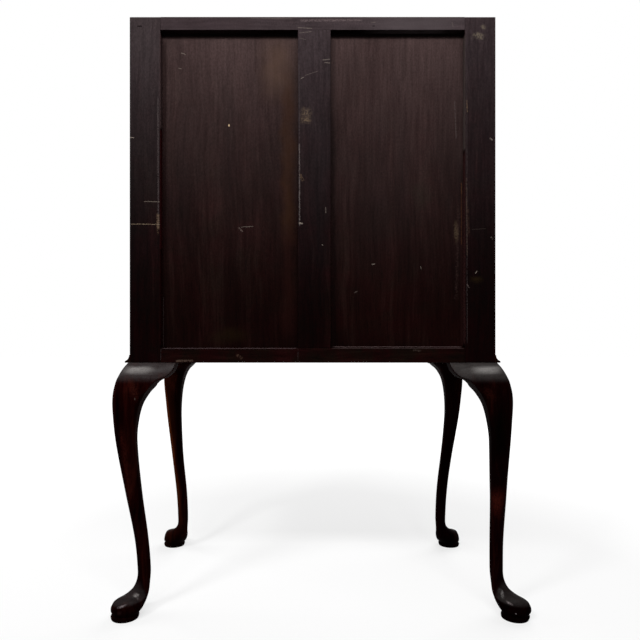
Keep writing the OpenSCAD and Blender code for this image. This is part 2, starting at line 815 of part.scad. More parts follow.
// Keyhole outline about the key's axis
module keyhole_outline() {
    circle(d = key_d + 2 * pin_gap);
    translate([-keyhole_w / 2, -key_low]) square([keyhole_w, key_low]);
}
module fall_panel() {
    color(MAHOGANY) on_floor() difference() {
        union() {
            along_x(-fall_half + clamp_w, fall_half - clamp_w) fall_outline();
            both_sides() clamp_groove(0);
        }
        box([-leather_half, fall_in_y - leather_t, leather_low],
            [leather_half, fall_in_y + 1, leather_high]);
        lock_pocket();
        translate([0, 0, key_z]) along_y(front_y - 1, fall_in_y) keyhole_outline();
    }
}
module fall_clamps() {
    color(MAHOGANY) on_floor() both_sides() difference() {
        along_x(fall_half - clamp_w, fall_half) fall_outline();
        clamp_groove(mortise_gap);
        translate([fall_half - pivot_plate_t, pin_y, pin_z]) rotate([90, 0, 90])
            linear_extrude(pivot_plate_t + 1) pivot_outline();
        translate([0, pin_y, pin_z])
            rod_x(fall_half - pivot_l - 4, fall_half, pivot_d + 1);
        box([stay_x - stay_foot_w / 2, fall_in_y - stay_foot_t, pin_z + stay_r - stay_foot_h / 2],
            [fall_half + 1, fall_in_y + 1, pin_z + stay_r + stay_foot_h / 2]);
    }
}
module writing_leather() {
    color(LEATHER) on_floor()
        box([-leather_half, fall_in_y - leather_t, leather_low],
            [leather_half, fall_in_y, leather_high]);
}

// Brass of the fall

// Outline of a pivot plate, drawn about the pin and reaching upwards
module pivot_outline() {
    circle(d = pivot_plate_w);
    translate([-pivot_plate_w / 2, 0]) square([pivot_plate_w, pivot_plate_h - pivot_plate_w]);
    translate([0, pivot_plate_h - pivot_plate_w]) circle(d = pivot_plate_w);
}
module side_pivots() {
    color(BRASS) on_floor() both_sides() translate([inner_x, pin_y, pin_z]) {
        rotate([90, 0, 90]) linear_extrude(pivot_plate_t) pivot_outline();
        rod_x(-pivot_l, 1, pivot_d);
    }
}
module fall_pivot_plates() {
    color(BRASS) on_floor() both_sides()
        translate([fall_half - pivot_plate_t, pin_y, pin_z]) rotate([90, 0, 90])
            linear_extrude(pivot_plate_t) difference() {
                pivot_outline();
                circle(d = pivot_d + 2 * pin_gap);
            }
}

// Foot plate of a stay, let into the fall
stay_foot_w = 2 * (fall_half - stay_x);
stay_foot_h = 34;
stay_foot_t = 2;
module quadrant_stays() {
    color(BRASS) on_floor() both_sides() {
        translate([stay_x - stay_t / 2, pin_y, pin_z]) rotate([90, 0, 90])
            rotate([0, 0, -stay_tail]) rotate_extrude(angle = stay_top + stay_tail)
                translate([stay_r - stay_w / 2, 0]) square([stay_w, stay_t]);
        translate([0, pin_y + stay_r * cos(lug_low), pin_z - stay_r * sin(lug_low)])
            rod_x(stay_x - lug_l / 2, stay_x + lug_l / 2, lug_d);
        box([stay_x - stay_foot_w / 2, fall_in_y - stay_foot_t, pin_z + stay_r - stay_foot_h / 2],
            [stay_x + stay_foot_w / 2, fall_in_y, pin_z + stay_r + stay_foot_h / 2]);
    }
}
// Slotted guides on the carcass sides that catch the lugs of the open stays
module stay_guides() {
    y0 = fall_in_y + guide_in;
    color(BRASS) on_floor() both_sides() difference() {
        box([stay_x - guide_w, y0, pin_z + stay_r - guide_h / 2],
            [inner_x, y0 + guide_t, pin_z + stay_r + guide_h / 2]);
        box([stay_x - stay_t / 2 - slide_gap, y0 - 1, pin_z + stay_r - stay_w / 2 - 2 * slot_room],
            [stay_x + stay_t / 2 + slide_gap, y0 + guide_t + 1,
                pin_z + stay_r + stay_w / 2 + slot_room]);
    }
}

// Lock, strike and key

lock_wall = 2;
module fall_lock() {
    y0 = fall_in_y - lock_t;
    color(BRASS) on_floor() difference() {
        box([-lock_w / 2, y0, fall_top - lock_h], [lock_w / 2, fall_in_y, fall_top]);
        box([-lock_w / 2 + lock_wall, y0 + lock_wall, fall_top - lock_h + lock_wall],
            [lock_w / 2 - lock_wall, fall_in_y - lock_wall, fall_top - lock_wall]);
        box([-bolt_w / 2 - slide_gap / 2, bolt_y - bolt_t / 2 - slide_gap / 2, fall_top - 3],
            [bolt_w / 2 + slide_gap / 2, bolt_y + bolt_t / 2 + slide_gap / 2, fall_top + 1]);
        translate([0, 0, key_z]) along_y(y0 - 1, y0 + lock_wall + 1) keyhole_outline();
    }
}
bolt_low = key_z + key_low + 1;
module lock_bolt() {
    color(BRASS) on_floor()
        box([-bolt_w / 2, bolt_y - bolt_t / 2, bolt_low],
            [bolt_w / 2, bolt_y + bolt_t / 2, fall_top - 0.2]);
}
module lock_strike() {
    color(BRASS) on_floor() difference() {
        box([-strike_w / 2, bolt_y - strike_d / 2, ceiling_z],
            [strike_w / 2, bolt_y + strike_d / 2, ceiling_z + strike_t]);
        box([-bolt_w / 2 - 1, bolt_y - bolt_t / 2 - 1, ceiling_z - 1],
            [bolt_w / 2 + 1, bolt_y + bolt_t / 2 + 1, ceiling_z + strike_t + 1]);
    }
}
module fall_escutcheon() {
    color(BRASS) on_floor() translate([0, 0, key_z])
        along_y(front_y - escutcheon_t, front_y) difference() {
            union() {
                circle(d = escutcheon_d);
                translate([0, -escutcheon_drop]) circle(d = escutcheon_low_d);
                translate([-escutcheon_low_d / 2, -escutcheon_drop])
                    square([escutcheon_low_d, escutcheon_drop]);
            }
            keyhole_outline();
        }
}
// Key with a ring bow, a collar and a bit that points down at rest
key_out = 34;
key_bow_r = 8;
key_bow_d = 4;
key_bit_t = keyhole_w - 2 * slot_gap;
key_collar = [2, 3, key_d + 4];
module key() {
    tip_y = fall_in_y - lock_wall - slide_gap;
    collar_y = front_y - escutcheon_t - key_collar[0];
    color(STEEL) on_floor() translate([0, 0, key_z]) {
        rod_y(front_y - key_out + key_bow_r, tip_y, key_d);
        rod_y(collar_y - key_collar[1], collar_y, key_collar[2]);
        box([-key_bit_t / 2, fall_in_y - lock_t + lock_wall + slide_gap, -key_low + slide_gap],
            [key_bit_t / 2, tip_y, 0]);
        translate([0, front_y - key_out, 0]) rotate([0, 90, 0])
            rotate_extrude() translate([key_bow_r, 0]) circle(d = key_bow_d);
    }
}

// Small gallery drawers

small_x0 = gallery_in - small_w + run_gap;
small_x1 = gallery_in - run_gap;
small_z0 = desk_h + run_gap;
small_z1 = shelf_z - drawer_gap;
small_y0 = gallery_y + divider_inset;
small_y1 = inside_y - small_short;
module small_front_board() {
    difference() {
        box([small_x0, small_y0, small_z0], [small_x1, small_y0 + small_front_t, small_z1]);
        translate([small_middle_x, 0, (small_z0 + small_z1) / 2])
            rod_y(small_y0 - 1, small_y0 + small_front_t + 1, knob_peg_d);
    }
}
module small_tray() {
    y0 = small_y0 + small_front_t;
    difference() {
        box([small_x0 + small_inset, y0, small_z0],
            [small_x1 - small_inset, small_y1, small_z1 - small_drop]);
        box([small_x0 + small_inset + small_side_t, y0 - 1, small_z0 + small_bottom_t],
            [small_x1 - small_inset - small_side_t, small_y1 - small_side_t, small_z1]);
    }
}
module small_knob() {
    translate([small_middle_x, small_y0, (small_z0 + small_z1) / 2]) rotate([90, 0, 0]) {
        rotate_extrude() {
            square([knob_d / 3, knob_base_t]);
            square([knob_d / 5, knob_out / 2]);
            intersection() {
                translate([0, knob_out - knob_d / 2]) circle(d = knob_d);
                translate([0, knob_out / 5]) square([knob_d, knob_out]);
            }
        }
        translate([0, 0, -small_front_t]) cylinder(d = knob_peg_d, h = small_front_t + 1);
    }
}
module small_left_front() {
    color(MAHOGANY) on_floor() mirror([1, 0, 0]) small_front_board();
}
module small_left_box() {
    color(DRAWER_WOOD) on_floor() mirror([1, 0, 0]) small_tray();
}
module small_left_knob() {
    color(BRASS) on_floor() mirror([1, 0, 0]) small_knob();
}
module small_right_front() {
    color(MAHOGANY) on_floor() small_front_board();
}
module small_right_box() {
    color(DRAWER_WOOD) on_floor() small_tray();
}
module small_right_knob() {
    color(BRASS) on_floor() small_knob();
}

// Long drawers, each given by the floor and the ceiling of its opening

drawer_x = inner_x - drawer_gap;
function drawer_low(z) = z + run_gap;
box_drop = 8;
bottom_rise = 8;
groove = 5;
// Handle posts go through the front at this height
function handle_z(z0, z1) = (z0 + z1) / 2 + bail_r / 3;

module long_front(z0, z1) {
    difference() {
        box([-drawer_x, front_y, drawer_low(z0)], [drawer_x, front_y + front_t, z1 - drawer_gap]);
        box([-drawer_x + drawer_side_t, front_y + front_t - groove, z0 + bottom_rise],
            [drawer_x - drawer_side_t, front_y + front_t + 1, z0 + bottom_rise + drawer_bottom_t]);
        both_sides() for (s = [-1, 1])
            translate([handle_x + s * bail_r, 0, handle_z(z0, z1)])
                rod_y(front_y - 1, front_y + front_t + 1, post_shank_d);
    }
}
module long_box(z0, z1) {
    y0 = front_y + front_t;
    y1 = front_y + drawer_d;
    high = z1 - box_drop;
    both_sides() difference() {
        box([drawer_x - drawer_side_t - 1, y0, drawer_low(z0)], [drawer_x - 1, y1, high]);
        box([drawer_x - drawer_side_t - 2, y0 - 1, z0 + bottom_rise],
            [drawer_x - drawer_side_t - 1 + groove, y1 + 1, z0 + bottom_rise + drawer_bottom_t]);
    }
    box([-drawer_x + drawer_side_t + 1, y1 - drawer_side_t, z0 + bottom_rise + drawer_bottom_t],
        [drawer_x - drawer_side_t - 1, y1, high]);
}
module long_bottom(z0) {
    half = drawer_x - drawer_side_t - 1 + groove;
    inset = drawer_side_t + 1;
    box([-half, front_y + front_t, z0 + bottom_rise],
        [half, front_y + drawer_d, z0 + bottom_rise + drawer_bottom_t]);
    box([-drawer_x + inset, front_y + front_t - groove, z0 + bottom_rise],
        [drawer_x - inset, front_y + front_t + 1, z0 + bottom_rise + drawer_bottom_t]);
}
// Two turned plates and posts to each handle
module handle_plates(z0, z1) {
    both_sides() for (s = [-1, 1])
        translate([handle_x + s * bail_r, 0, handle_z(z0, z1)]) difference() {
            union() {
                rod_y(front_y - handle_plate_t, front_y, handle_plate_d);
                rod_y(front_y - bail_out, front_y + front_t, post_shank_d);
                translate([0, front_y - bail_out, 0]) rod_x(-post_eye / 2, post_eye / 2, post_d);
            }
            translate([0, front_y - bail_out, 0])
                rod_x(-post_eye, post_eye, bail_pin_d + 2 * pin_gap);
        }
}
// Half-round bail whose pins turn in the posts
module bail(x, z0, z1) {
    arm = bail_r - post_eye / 2 - bail_d / 2 - slide_gap;
    pin_l = bail_r - arm + post_eye / 3;
    translate([x, front_y - bail_out, handle_z(z0, z1)]) {
        rotate([90, 0, 0]) rotate([0, 0, 180]) rotate_extrude(angle = 180)
            translate([arm, 0]) circle(d = bail_d);
        for (s = [-1, 1]) translate([s * arm, 0, 0]) {
            sphere(d = bail_d);
            rod_x(s > 0 ? 0 : -pin_l, s > 0 ? pin_l : 0, bail_pin_d);
        }
    }
}

module upper_drawer_front() {
    color(MAHOGANY) on_floor() long_front(upper_low, upper_top);
}
module upper_drawer_box() {
    color(DRAWER_WOOD) on_floor() long_box(upper_low, upper_top);
}
module upper_drawer_bottom() {
    color(DRAWER_WOOD) on_floor() long_bottom(upper_low);
}
module upper_handle_plates() {
    color(BRASS) on_floor() handle_plates(upper_low, upper_top);
}
module upper_bail_left() {
    color(BRASS) on_floor() bail(-handle_x, upper_low, upper_top);
}
module upper_bail_right() {
    color(BRASS) on_floor() bail(handle_x, upper_low, upper_top);
}
module lower_drawer_front() {
    color(MAHOGANY) on_floor() long_front(floor_z, lower_top);
}
module lower_drawer_box() {
    color(DRAWER_WOOD) on_floor() long_box(floor_z, lower_top);
}
module lower_drawer_bottom() {
    color(DRAWER_WOOD) on_floor() long_bottom(floor_z);
}
module lower_handle_plates() {
    color(BRASS) on_floor() handle_plates(floor_z, lower_top);
}
module lower_bail_left() {
    color(BRASS) on_floor() bail(-handle_x, floor_z, lower_top);
}
module lower_bail_right() {
    color(BRASS) on_floor() bail(handle_x, floor_z, lower_top);
}

top_board();
left_side();
right_side();
bottom_board();
desk_board();
drawer_rails();
drawer_runners();
back_top_rail();
back_bottom_rail();
back_left_stile();
back_right_stile();
back_muntin();
back_left_panel();
back_right_panel();
base_front_moulding();
base_side_mouldings();
leg_front_left();
leg_front_right();
leg_rear_left();
leg_rear_right();
brackets_front_left();
brackets_front_right();
brackets_rear_left();
brackets_rear_right();
leg_dowels();
gallery_ends();
gallery_shelf();
gallery_top();
gallery_dividers();
gallery_valances();
stay_guides();
side_pivots();
lock_strike();
fall_panel();
fall_clamps();
writing_leather();
quadrant_stays();
fall_pivot_plates();
fall_lock();
fall_escutcheon();
lock_bolt();
key();
small_left_front();
small_left_box();
small_left_knob();
small_right_front();
small_right_box();
small_right_knob();
upper_drawer_front();
upper_drawer_box();
upper_drawer_bottom();
upper_handle_plates();
upper_bail_left();
upper_bail_right();
lower_drawer_front();
lower_drawer_box();
lower_drawer_bottom();
lower_handle_plates();
lower_bail_left();
lower_bail_right();
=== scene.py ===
"""Looks of the secretaire: worn mahogany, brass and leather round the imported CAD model."""

import math
from collections import namedtuple

import bmesh
import bpy
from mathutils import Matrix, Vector


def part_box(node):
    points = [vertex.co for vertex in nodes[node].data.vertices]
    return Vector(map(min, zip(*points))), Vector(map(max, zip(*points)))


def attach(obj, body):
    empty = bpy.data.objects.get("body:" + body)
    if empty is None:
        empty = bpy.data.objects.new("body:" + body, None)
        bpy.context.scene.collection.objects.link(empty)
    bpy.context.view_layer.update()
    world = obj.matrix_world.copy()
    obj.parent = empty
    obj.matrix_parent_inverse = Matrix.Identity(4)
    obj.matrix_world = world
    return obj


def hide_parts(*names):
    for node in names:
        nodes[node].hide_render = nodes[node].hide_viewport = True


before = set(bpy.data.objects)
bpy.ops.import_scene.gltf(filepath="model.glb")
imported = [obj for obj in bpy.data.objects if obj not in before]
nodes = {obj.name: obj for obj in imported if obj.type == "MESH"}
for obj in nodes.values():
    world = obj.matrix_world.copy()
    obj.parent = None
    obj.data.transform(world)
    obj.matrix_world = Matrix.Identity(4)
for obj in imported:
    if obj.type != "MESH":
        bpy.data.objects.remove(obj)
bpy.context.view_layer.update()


def to_tenth(metres):
    """A length from the frame, to a tenth of a millimetre."""
    return round(metres, 4)


# Places in the frame of the CAD source, in metres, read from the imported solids
LEFT_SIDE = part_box("left_side")
RIGHT_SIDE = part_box("right_side")
MID_X = to_tenth((RIGHT_SIDE[1].x + LEFT_SIDE[0].x) / 2)
SIDE = to_tenth((RIGHT_SIDE[1].x - LEFT_SIDE[0].x) / 2)
BACK_Y = to_tenth(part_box("back_top_rail")[1].y)
LEG_H = to_tenth(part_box("leg_rear_right")[1].z)
TOP_Z = to_tenth(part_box("top_board")[1].z)

# Camera of the photograph: behind the piece, level, a little to the +X side of its middle
CAMERA_OFF = 1.184
CAMERA_ASIDE = 0.0075
CAMERA_H = 0.5567
CAMERA_AT = (MID_X + CAMERA_ASIDE, BACK_Y + CAMERA_OFF, CAMERA_H)
SENSOR = 36.0
IMAGE = 640
FOCAL_PX = 570.3
PRINCIPAL = (309.0, 347.44)


def photo_point(pixel, depth):
    """The point on the back plane, or so far behind it, that the photo shows at a pixel."""
    across, down = pixel
    scale = (CAMERA_OFF + depth) / FOCAL_PX
    x = CAMERA_AT[0] - (across - PRINCIPAL[0]) * scale
    z = CAMERA_AT[2] - (down - PRINCIPAL[1]) * scale
    return Vector((x, BACK_Y - depth, z))


# Node graphs

HALF = (0.5, 0.5, 0.5)
# Most of a noise lies between these values
NOISE_LOW, NOISE_HIGH = 0.3, 0.7
# Sockets by number, where Blender gives several the same name
MIX_A, MIX_B, MIX_RESULT = 6, 7, 2
RANGE_VECTOR, RANGE_FROM_MIN, RANGE_FROM_MAX, RANGE_TO_MIN, RANGE_TO_MAX = 6, 7, 8, 9, 10
RANGE_RESULT = 1


class Graph:
    """The nodes of one material or world, written from the texture to the output."""

    def __init__(self, owner, output):
        owner.use_nodes = True
        self.tree = owner.node_tree
        self.tree.nodes.clear()
        self.out = self.node(output)

    def link(self, a, b):
        self.tree.links.new(a, b)

    def put(self, value, socket):
        if isinstance(value, bpy.types.NodeSocket):
            self.link(value, socket)
        else:
            socket.default_value = value

    def node(self, kind, *values, **settings):
        n = self.tree.nodes.new(kind)
        for setting, value in settings.items():
            setattr(n, setting, value)
        for i, value in enumerate(values):
            if value is not None:
                self.put(value, n.inputs[i])
        return n

    def show(self, shader):
        self.link(shader, self.out.inputs["Surface"])

    def math(self, op, *values, clamp=False):
        return self.node("ShaderNodeMath", *values, operation=op, use_clamp=clamp).outputs[0]

    def times(self, first, *others, clamp=False):
        product = first
        for other in others:
            product = self.math("MULTIPLY", product, other, clamp=clamp)
        return product

    def vec(self, op, *values):
        return self.node("ShaderNodeVectorMath", *values, operation=op).outputs[0]

    def scaled(self, vector, value):
        """A vector or colour times a number."""
        n = self.node("ShaderNodeVectorMath", vector, operation="SCALE")
        self.put(value, n.inputs["Scale"])
        return n.outputs[0]

    def apart(self, vector):
        """The three numbers in a vector."""
        return self.node("ShaderNodeSeparateXYZ", vector).outputs

    def place(self, vector, scale):
        return self.node("ShaderNodeMapping", vector, None, None, scale).outputs[0]

    def noise(self, vector, scale, rough, detail=3.0, distort=0.0, colour=False):
        n = self.node("ShaderNodeTexNoise")
        self.link(vector, n.inputs["Vector"])
        n.inputs["Scale"].default_value = scale
        n.inputs["Detail"].default_value = detail
        n.inputs["Roughness"].default_value = rough
        n.inputs["Distortion"].default_value = distort
        return n.outputs["Color" if colour else "Fac"]

    def ramp(self, value, low, high, out_low=0.0, out_high=1.0, smooth=True):
        n = self.node("ShaderNodeMapRange", value, low, high, out_low, out_high)
        n.interpolation_type = "SMOOTHSTEP" if smooth else "LINEAR"
        return n.outputs[0]

    def vary(self, noise, out_low, out_high, low=NOISE_LOW, high=NOISE_HIGH):
        """A noise, spread evenly between two numbers."""
        return self.ramp(noise, low, high, out_low, out_high, smooth=False)

    def window(self, value, rise, fall, full=1.0, left=0.0):
        """Rises from 0 to 1 in the first span, and falls from full to left in the second."""
        return self.times(self.ramp(value, *rise), self.ramp(value, *fall, full, left))

    def mix(self, a, b, fac):
        n = self.node("ShaderNodeMix", data_type="RGBA")
        self.put(fac, n.inputs["Factor"])
        self.put(a if isinstance(a, bpy.types.NodeSocket) else (*a, 1), n.inputs[MIX_A])
        self.put(b if isinstance(b, bpy.types.NodeSocket) else (*b, 1), n.inputs[MIX_B])
        return n.outputs[MIX_RESULT]

    def darken(self, colour, mask, share):
        """Takes a share of the light from a colour where the mask is 1."""
        return self.scaled(colour, self.math("SUBTRACT", 1.0, self.times(mask, share)))

    def ray_is(self, *kinds):
        """1 for a ray of one of these kinds, and 0 for any other."""
        ray = self.node("ShaderNodeLightPath").outputs
        found = ray[kinds[0]]
        for kind in kinds[1:]:
            found = self.math("MAXIMUM", found, ray[kind])
        return found


class Surface(Graph):
    """A material of the object, with one shader."""

    def __init__(self, name):
        self.mat = bpy.data.materials.new(name)
        super().__init__(self.mat, "ShaderNodeOutputMaterial")
        self.bsdf = self.node("ShaderNodeBsdfPrincipled")
        self.show(self.bsdf.outputs[0])
        place = self.node("ShaderNodeTexCoord").outputs
        self.coords = place["Object"]
        self.normal = place["Normal"]

    def finish(self, colour, rough, height, bump, distance, **fixed):
        self.put(colour, self.bsdf.inputs["Base Color"])
        self.put(rough, self.bsdf.inputs["Roughness"])
        for name, value in fixed.items():
            self.bsdf.inputs[name.replace("_", " ")].default_value = value
        b = self.node("ShaderNodeBump")
        b.inputs["Strength"].default_value = bump
        b.inputs["Distance"].default_value = distance
        self.link(height, b.inputs["Height"])
        self.link(b.outputs[0], self.bsdf.inputs["Normal"])
        return self.mat


# Wood

# How the noises are drawn out along the grain
ALONG = 0.055
GRAIN = {"x": (ALONG, 1, 1), "y": (1, ALONG, 1), "z": (1, 1, ALONG)}
# How far the grain sways to the side, in metres
SWAY = 0.035
# Tones that lie between dark and mid, and between mid and light
DARK_TO_MID = (0.36, 0.52)
MID_TO_LIGHT = (0.5, 0.68)
# The noise of the pores where they begin and where they are deepest, and how much light they take
PORES = (0.56, 0.7)
PORE_SHADE = 0.45
# The noise of the stain where it leans to red, and where it leans to olive
RED_TO_OLIVE = (0.34, 0.66)
# The streaks where the painted light on one side is weakest, and those where it is strongest
SIDE_LIGHT_STREAKS = (0.36, 0.62)
# The outer edges of the back frame that keep the colour of the carcass: how far in they begin and end
EDGE_SPAN = (0.0016, 0.0004)

# How much a face looks one way: where that begins to count, and where it counts in full
TO_FRONT = (-0.15, -0.65)
TO_BACK = (0.25, 0.75)
TO_LIT_SIDE = (-0.15, 0.55)
UPWARD = (0.1, 0.5)
# The painted sheen on the front legs ends where their faces turn to the back
NOT_TO_BACK = (-0.1, 0.3, 1.0, 0.0)

# Heights above the floor, in metres, between which the darkening of the pads and the painted sheen on the
# legs come in or end
PAD_DARKENING = (0.012, 0.045)
KNEE_RISE = (LEG_H - 0.044, LEG_H - 0.018)
KNEE_FALL = (LEG_H - 0.008, LEG_H)
FOOT_RISE = (0.028, 0.038)
FOOT_FALL = (0.04, 0.078)
# The painted highlight along the ridge of the knee, by height, and by distance from the middle of the carcass
RIDGE_RISE = (LEG_H - 0.026, LEG_H - 0.015)
RIDGE_FALL = (LEG_H - 0.012, LEG_H - 0.005)
RIDGE_IN = (SIDE - 0.062, SIDE - 0.03)
RIDGE_OUT = (SIDE - 0.01, SIDE + 0.014)
# Heights between which the painted light on one side of a leg comes in
SIDE_LIGHT_RISE = (0.05, 0.22)

# The marks on the legs are placed on a plane nearer to the camera than the back
LEG_DEPTH = -0.028
# Scale and size of the noise that shakes the outline of a mark
SHAKES = {"thin": (170, 0.0022), "broad": (24, 0.03), "patch": (95, 0.016)}
# Widths from which a mark counts as broad, whole or broken up, and as a patch
BROAD_WHOLE, BROAD_BROKEN, PATCH = 0.012, 0.03, 0.009
# Share of a mark's half width that is soft; only thin marks on the flat back are crisp
SOFT_MARK, CRISP_MARK = 0.95, 0.40
# The ends of a mark fade over this many times the length that its sides fade over, but over no less
# than this share of its half length
END_SOFTNESS, LEAST_SOFT = 4, 0.06
# Half the length of the shortest mark, and half the thickness that a mark reaches through
SHORTEST, THROUGH = 0.0008, 0.05

# Painted light and sheen from above, with dust: its colour, its strength, and how fast it grows towards the
# top
LightAndDust = namedtuple("LightAndDust", "colour strength power")
Mark = namedtuple("Mark", "start end width colour strength breakup")


class Wood(Surface):
    """Old wood. Most methods take a colour and give it back with one more thing that age has done, or with
    painted light.
    """

    def __init__(self, name, along, seed, coarse, fine):
        super().__init__(name)
        self.p = self.vec("ADD", self.coords, (seed, seed * 1.7, seed * 0.6))
        sway = self.noise(self.p, scale=3.2, detail=2.0, rough=0.5, colour=True)
        sway = self.vec("SUBTRACT", sway, HALF)
        self.grain = self.place(self.vec("ADD", self.p, self.scaled(sway, SWAY)), GRAIN[along])
        self.streak = self.noise(self.grain, scale=26 * coarse, detail=4.0, rough=0.6, distort=0.6)
        self.fibre = self.noise(self.grain, scale=190 * fine, detail=4.0, rough=0.65, distort=0.2)
        self.pits = self.ramp(self.noise(self.grain, scale=620 * fine, detail=2.0, rough=0.5), *PORES)
        self.tone = self.math("ADD", self.times(self.streak, 0.62), self.times(self.fibre, 0.38))
        self.facing = self.apart(self.normal)
        place = self.apart(self.coords)
        self.tall = place[2]
        self.off = self.math("ABSOLUTE", self.math("SUBTRACT", place[0], MID_X))

    def streaks(self, dark, mid, light):
        """The plain wood."""
        colour = self.mix(dark, mid, self.ramp(self.tone, *DARK_TO_MID))
        return self.mix(colour, light, self.ramp(self.tone, *MID_TO_LIGHT))

    def show_side(self, colour, fore, edges_only):
        """The show side, where the stain has kept its red; on the back frame, only its outer edges."""
        if edges_only:
            side, top = ([limit - inset for inset in EDGE_SPAN] for limit in (SIDE, TOP_Z))
            show = self.math("MAXIMUM", self.ramp(self.off, *side), self.ramp(self.tall, *top))
        else:
            show = self.ramp(self.facing[1], *TO_FRONT)
        return self.mix(colour, self.streaks(**fore), show)

    def stain(self, colour, blotch):
        """Stain that took unevenly, and dark pores."""
        cloud = self.noise(self.p, scale=5.5, detail=4.0, rough=0.6)
        colour = self.scaled(colour, self.vary(cloud, 1 - blotch, 1 + blotch))
        return self.darken(colour, self.pits, PORE_SHADE)

    def mottle(self, colour, much):
        """The stain leans to red in places and to olive in others."""
        hue = self.ramp(self.noise(self.p, scale=17, detail=4.0, rough=0.65), *RED_TO_OLIVE)
        reddish = self.vec("MULTIPLY", colour, (1 + much, 1 - much, 1 - 0.6 * much))
        olive = self.vec("MULTIPLY", colour, (1 - 0.6 * much, 1 + 0.7 * much, 1 - 0.2 * much))
        return self.mix(reddish, olive, hue)

    def light_and_dust(self, colour, light_and_dust):
        """Painted light and sheen from above, with some dust: strongest at the top and gone at the foot."""
        up = self.ramp(self.tall, LEG_H + 0.02, TOP_Z, smooth=False)
        cloud = self.noise(self.place(self.p, (1, 1, 0.4)), scale=8, detail=5.0, rough=0.66)
        patchy = self.vary(cloud, 0.75, 1.25)
        grainy = self.vary(self.fibre, 0.8, 1.2, low=0.35, high=0.65)
        share_of_light_and_dust = self.times(self.math("POWER", up, light_and_dust.power), light_and_dust.strength, self.times(patchy, grainy))
        # the edges of the frame, which face aside into the shade, get none of this painted light and keep
        # their first colour
        share_of_light_and_dust = self.times(share_of_light_and_dust, self.ramp(self.facing[1], *TO_BACK))
        colour = self.mix(colour, light_and_dust.colour, share_of_light_and_dust)
        speckle = self.noise(self.place(self.p, (1, 1, 0.6)), scale=330, detail=3.0, rough=0.7)
        return self.scaled(colour, self.vary(speckle, 0.76, 1.24))

    def side_light(self, colour, lit_colour):
        """One side, which faces +X, is painted lighter and orange brown, as light falling on that side."""
        side = self.times(self.ramp(self.facing[0], *TO_LIT_SIDE), self.ramp(self.tall, *SIDE_LIGHT_RISE, 0.12, 1.0))
        return self.mix(colour, lit_colour, self.times(side, self.ramp(self.streak, *SIDE_LIGHT_STREAKS, 0.35, 1.0)))

    def painted_sheen(self, colour, painted_sheen, painted_highlight, front):
        """The pads darker towards the floor, a painted dull sheen where knees and feet look up, and a painted
        highlight where a knee rounds over.
        """
        # the pads are darker towards the floor
        colour = self.scaled(colour, self.ramp(self.tall, *PAD_DARKENING, 0.45, 1.0))
        sheen_breakup = self.noise(self.place(self.p, (0.35, 1, 1)), scale=75, detail=4.0, rough=0.65)
        grit = self.noise(self.p, scale=480, detail=3.0, rough=0.7)
        sheen_breakup = self.vary(sheen_breakup, 0.5, 1.3, low=0.28, high=0.72)
        sheen_breakup = self.times(sheen_breakup, self.vary(grit, 0.65, 1.3))
        knee = self.window(self.tall, KNEE_RISE, KNEE_FALL, left=0.55)
        foot = self.window(self.tall, FOOT_RISE, FOOT_FALL, full=0.41)
        # a painted sheen where knees and feet look up, and a painted highlight along the ridge of the knee
        sheen_mask = self.times(self.math("MAXIMUM", knee, foot), self.ramp(self.facing[2], *UPWARD), sheen_breakup)
        ridge = self.times(self.window(self.tall, RIDGE_RISE, RIDGE_FALL),
                           self.window(self.off, RIDGE_IN, RIDGE_OUT))
        if front:
            turned = self.ramp(self.facing[1], *NOT_TO_BACK)
            sheen_mask = self.times(sheen_mask, turned)
            ridge = self.times(ridge, turned)
        colour = self.mix(colour, painted_sheen, self.times(sheen_mask, 0.9, clamp=True))
        return self.mix(colour, painted_highlight, self.times(self.times(ridge, sheen_breakup), 0.7, clamp=True))

    def shaken(self, scale, size):
        """The places on the surface, shaken a little, so that what is drawn there has a ragged outline."""
        shift = self.vec("SUBTRACT", self.noise(self.p, scale, rough=0.6, colour=True), HALF)
        return self.vec("ADD", self.coords, self.vec("MULTIPLY", shift, (size, size, size)))

    def soft_box(self, vector, centre, half, turn, soft):
        """A soft box, turned about Y: 1 inside it and 0 outside."""
        n = self.node("ShaderNodeMapping", vector, centre, (0, turn, 0), half, vector_type="TEXTURE")
        near = self.vec("ABSOLUTE", n.outputs[0])
        n = self.node("ShaderNodeMapRange", data_type="FLOAT_VECTOR", interpolation_type="SMOOTHSTEP")
        self.link(near, n.inputs[RANGE_VECTOR])
        ends = min(soft, max(LEAST_SOFT, END_SOFTNESS * soft * half[2] / half[0]))
        n.inputs[RANGE_FROM_MIN].default_value = (1.0,) * 3
        n.inputs[RANGE_FROM_MAX].default_value = (1.0 - ends, 1.0 - soft, 1.0 - soft)
        n.inputs[RANGE_TO_MIN].default_value = (0.0,) * 3
        n.inputs[RANGE_TO_MAX].default_value = (1.0,) * 3
        return self.times(*self.apart(n.outputs[RANGE_RESULT]))

    def worn(self, number, breakup):
        """Gaps in a broken mark, at other places for each number."""
        place = self.vec("ADD", self.p, (number * 0.31, 0, number * 0.17))
        gaps = self.noise(place, scale=320, detail=5.0, rough=0.8)
        return self.ramp(gaps, 0.36 + 0.1 * breakup, 0.5 + 0.1 * breakup)

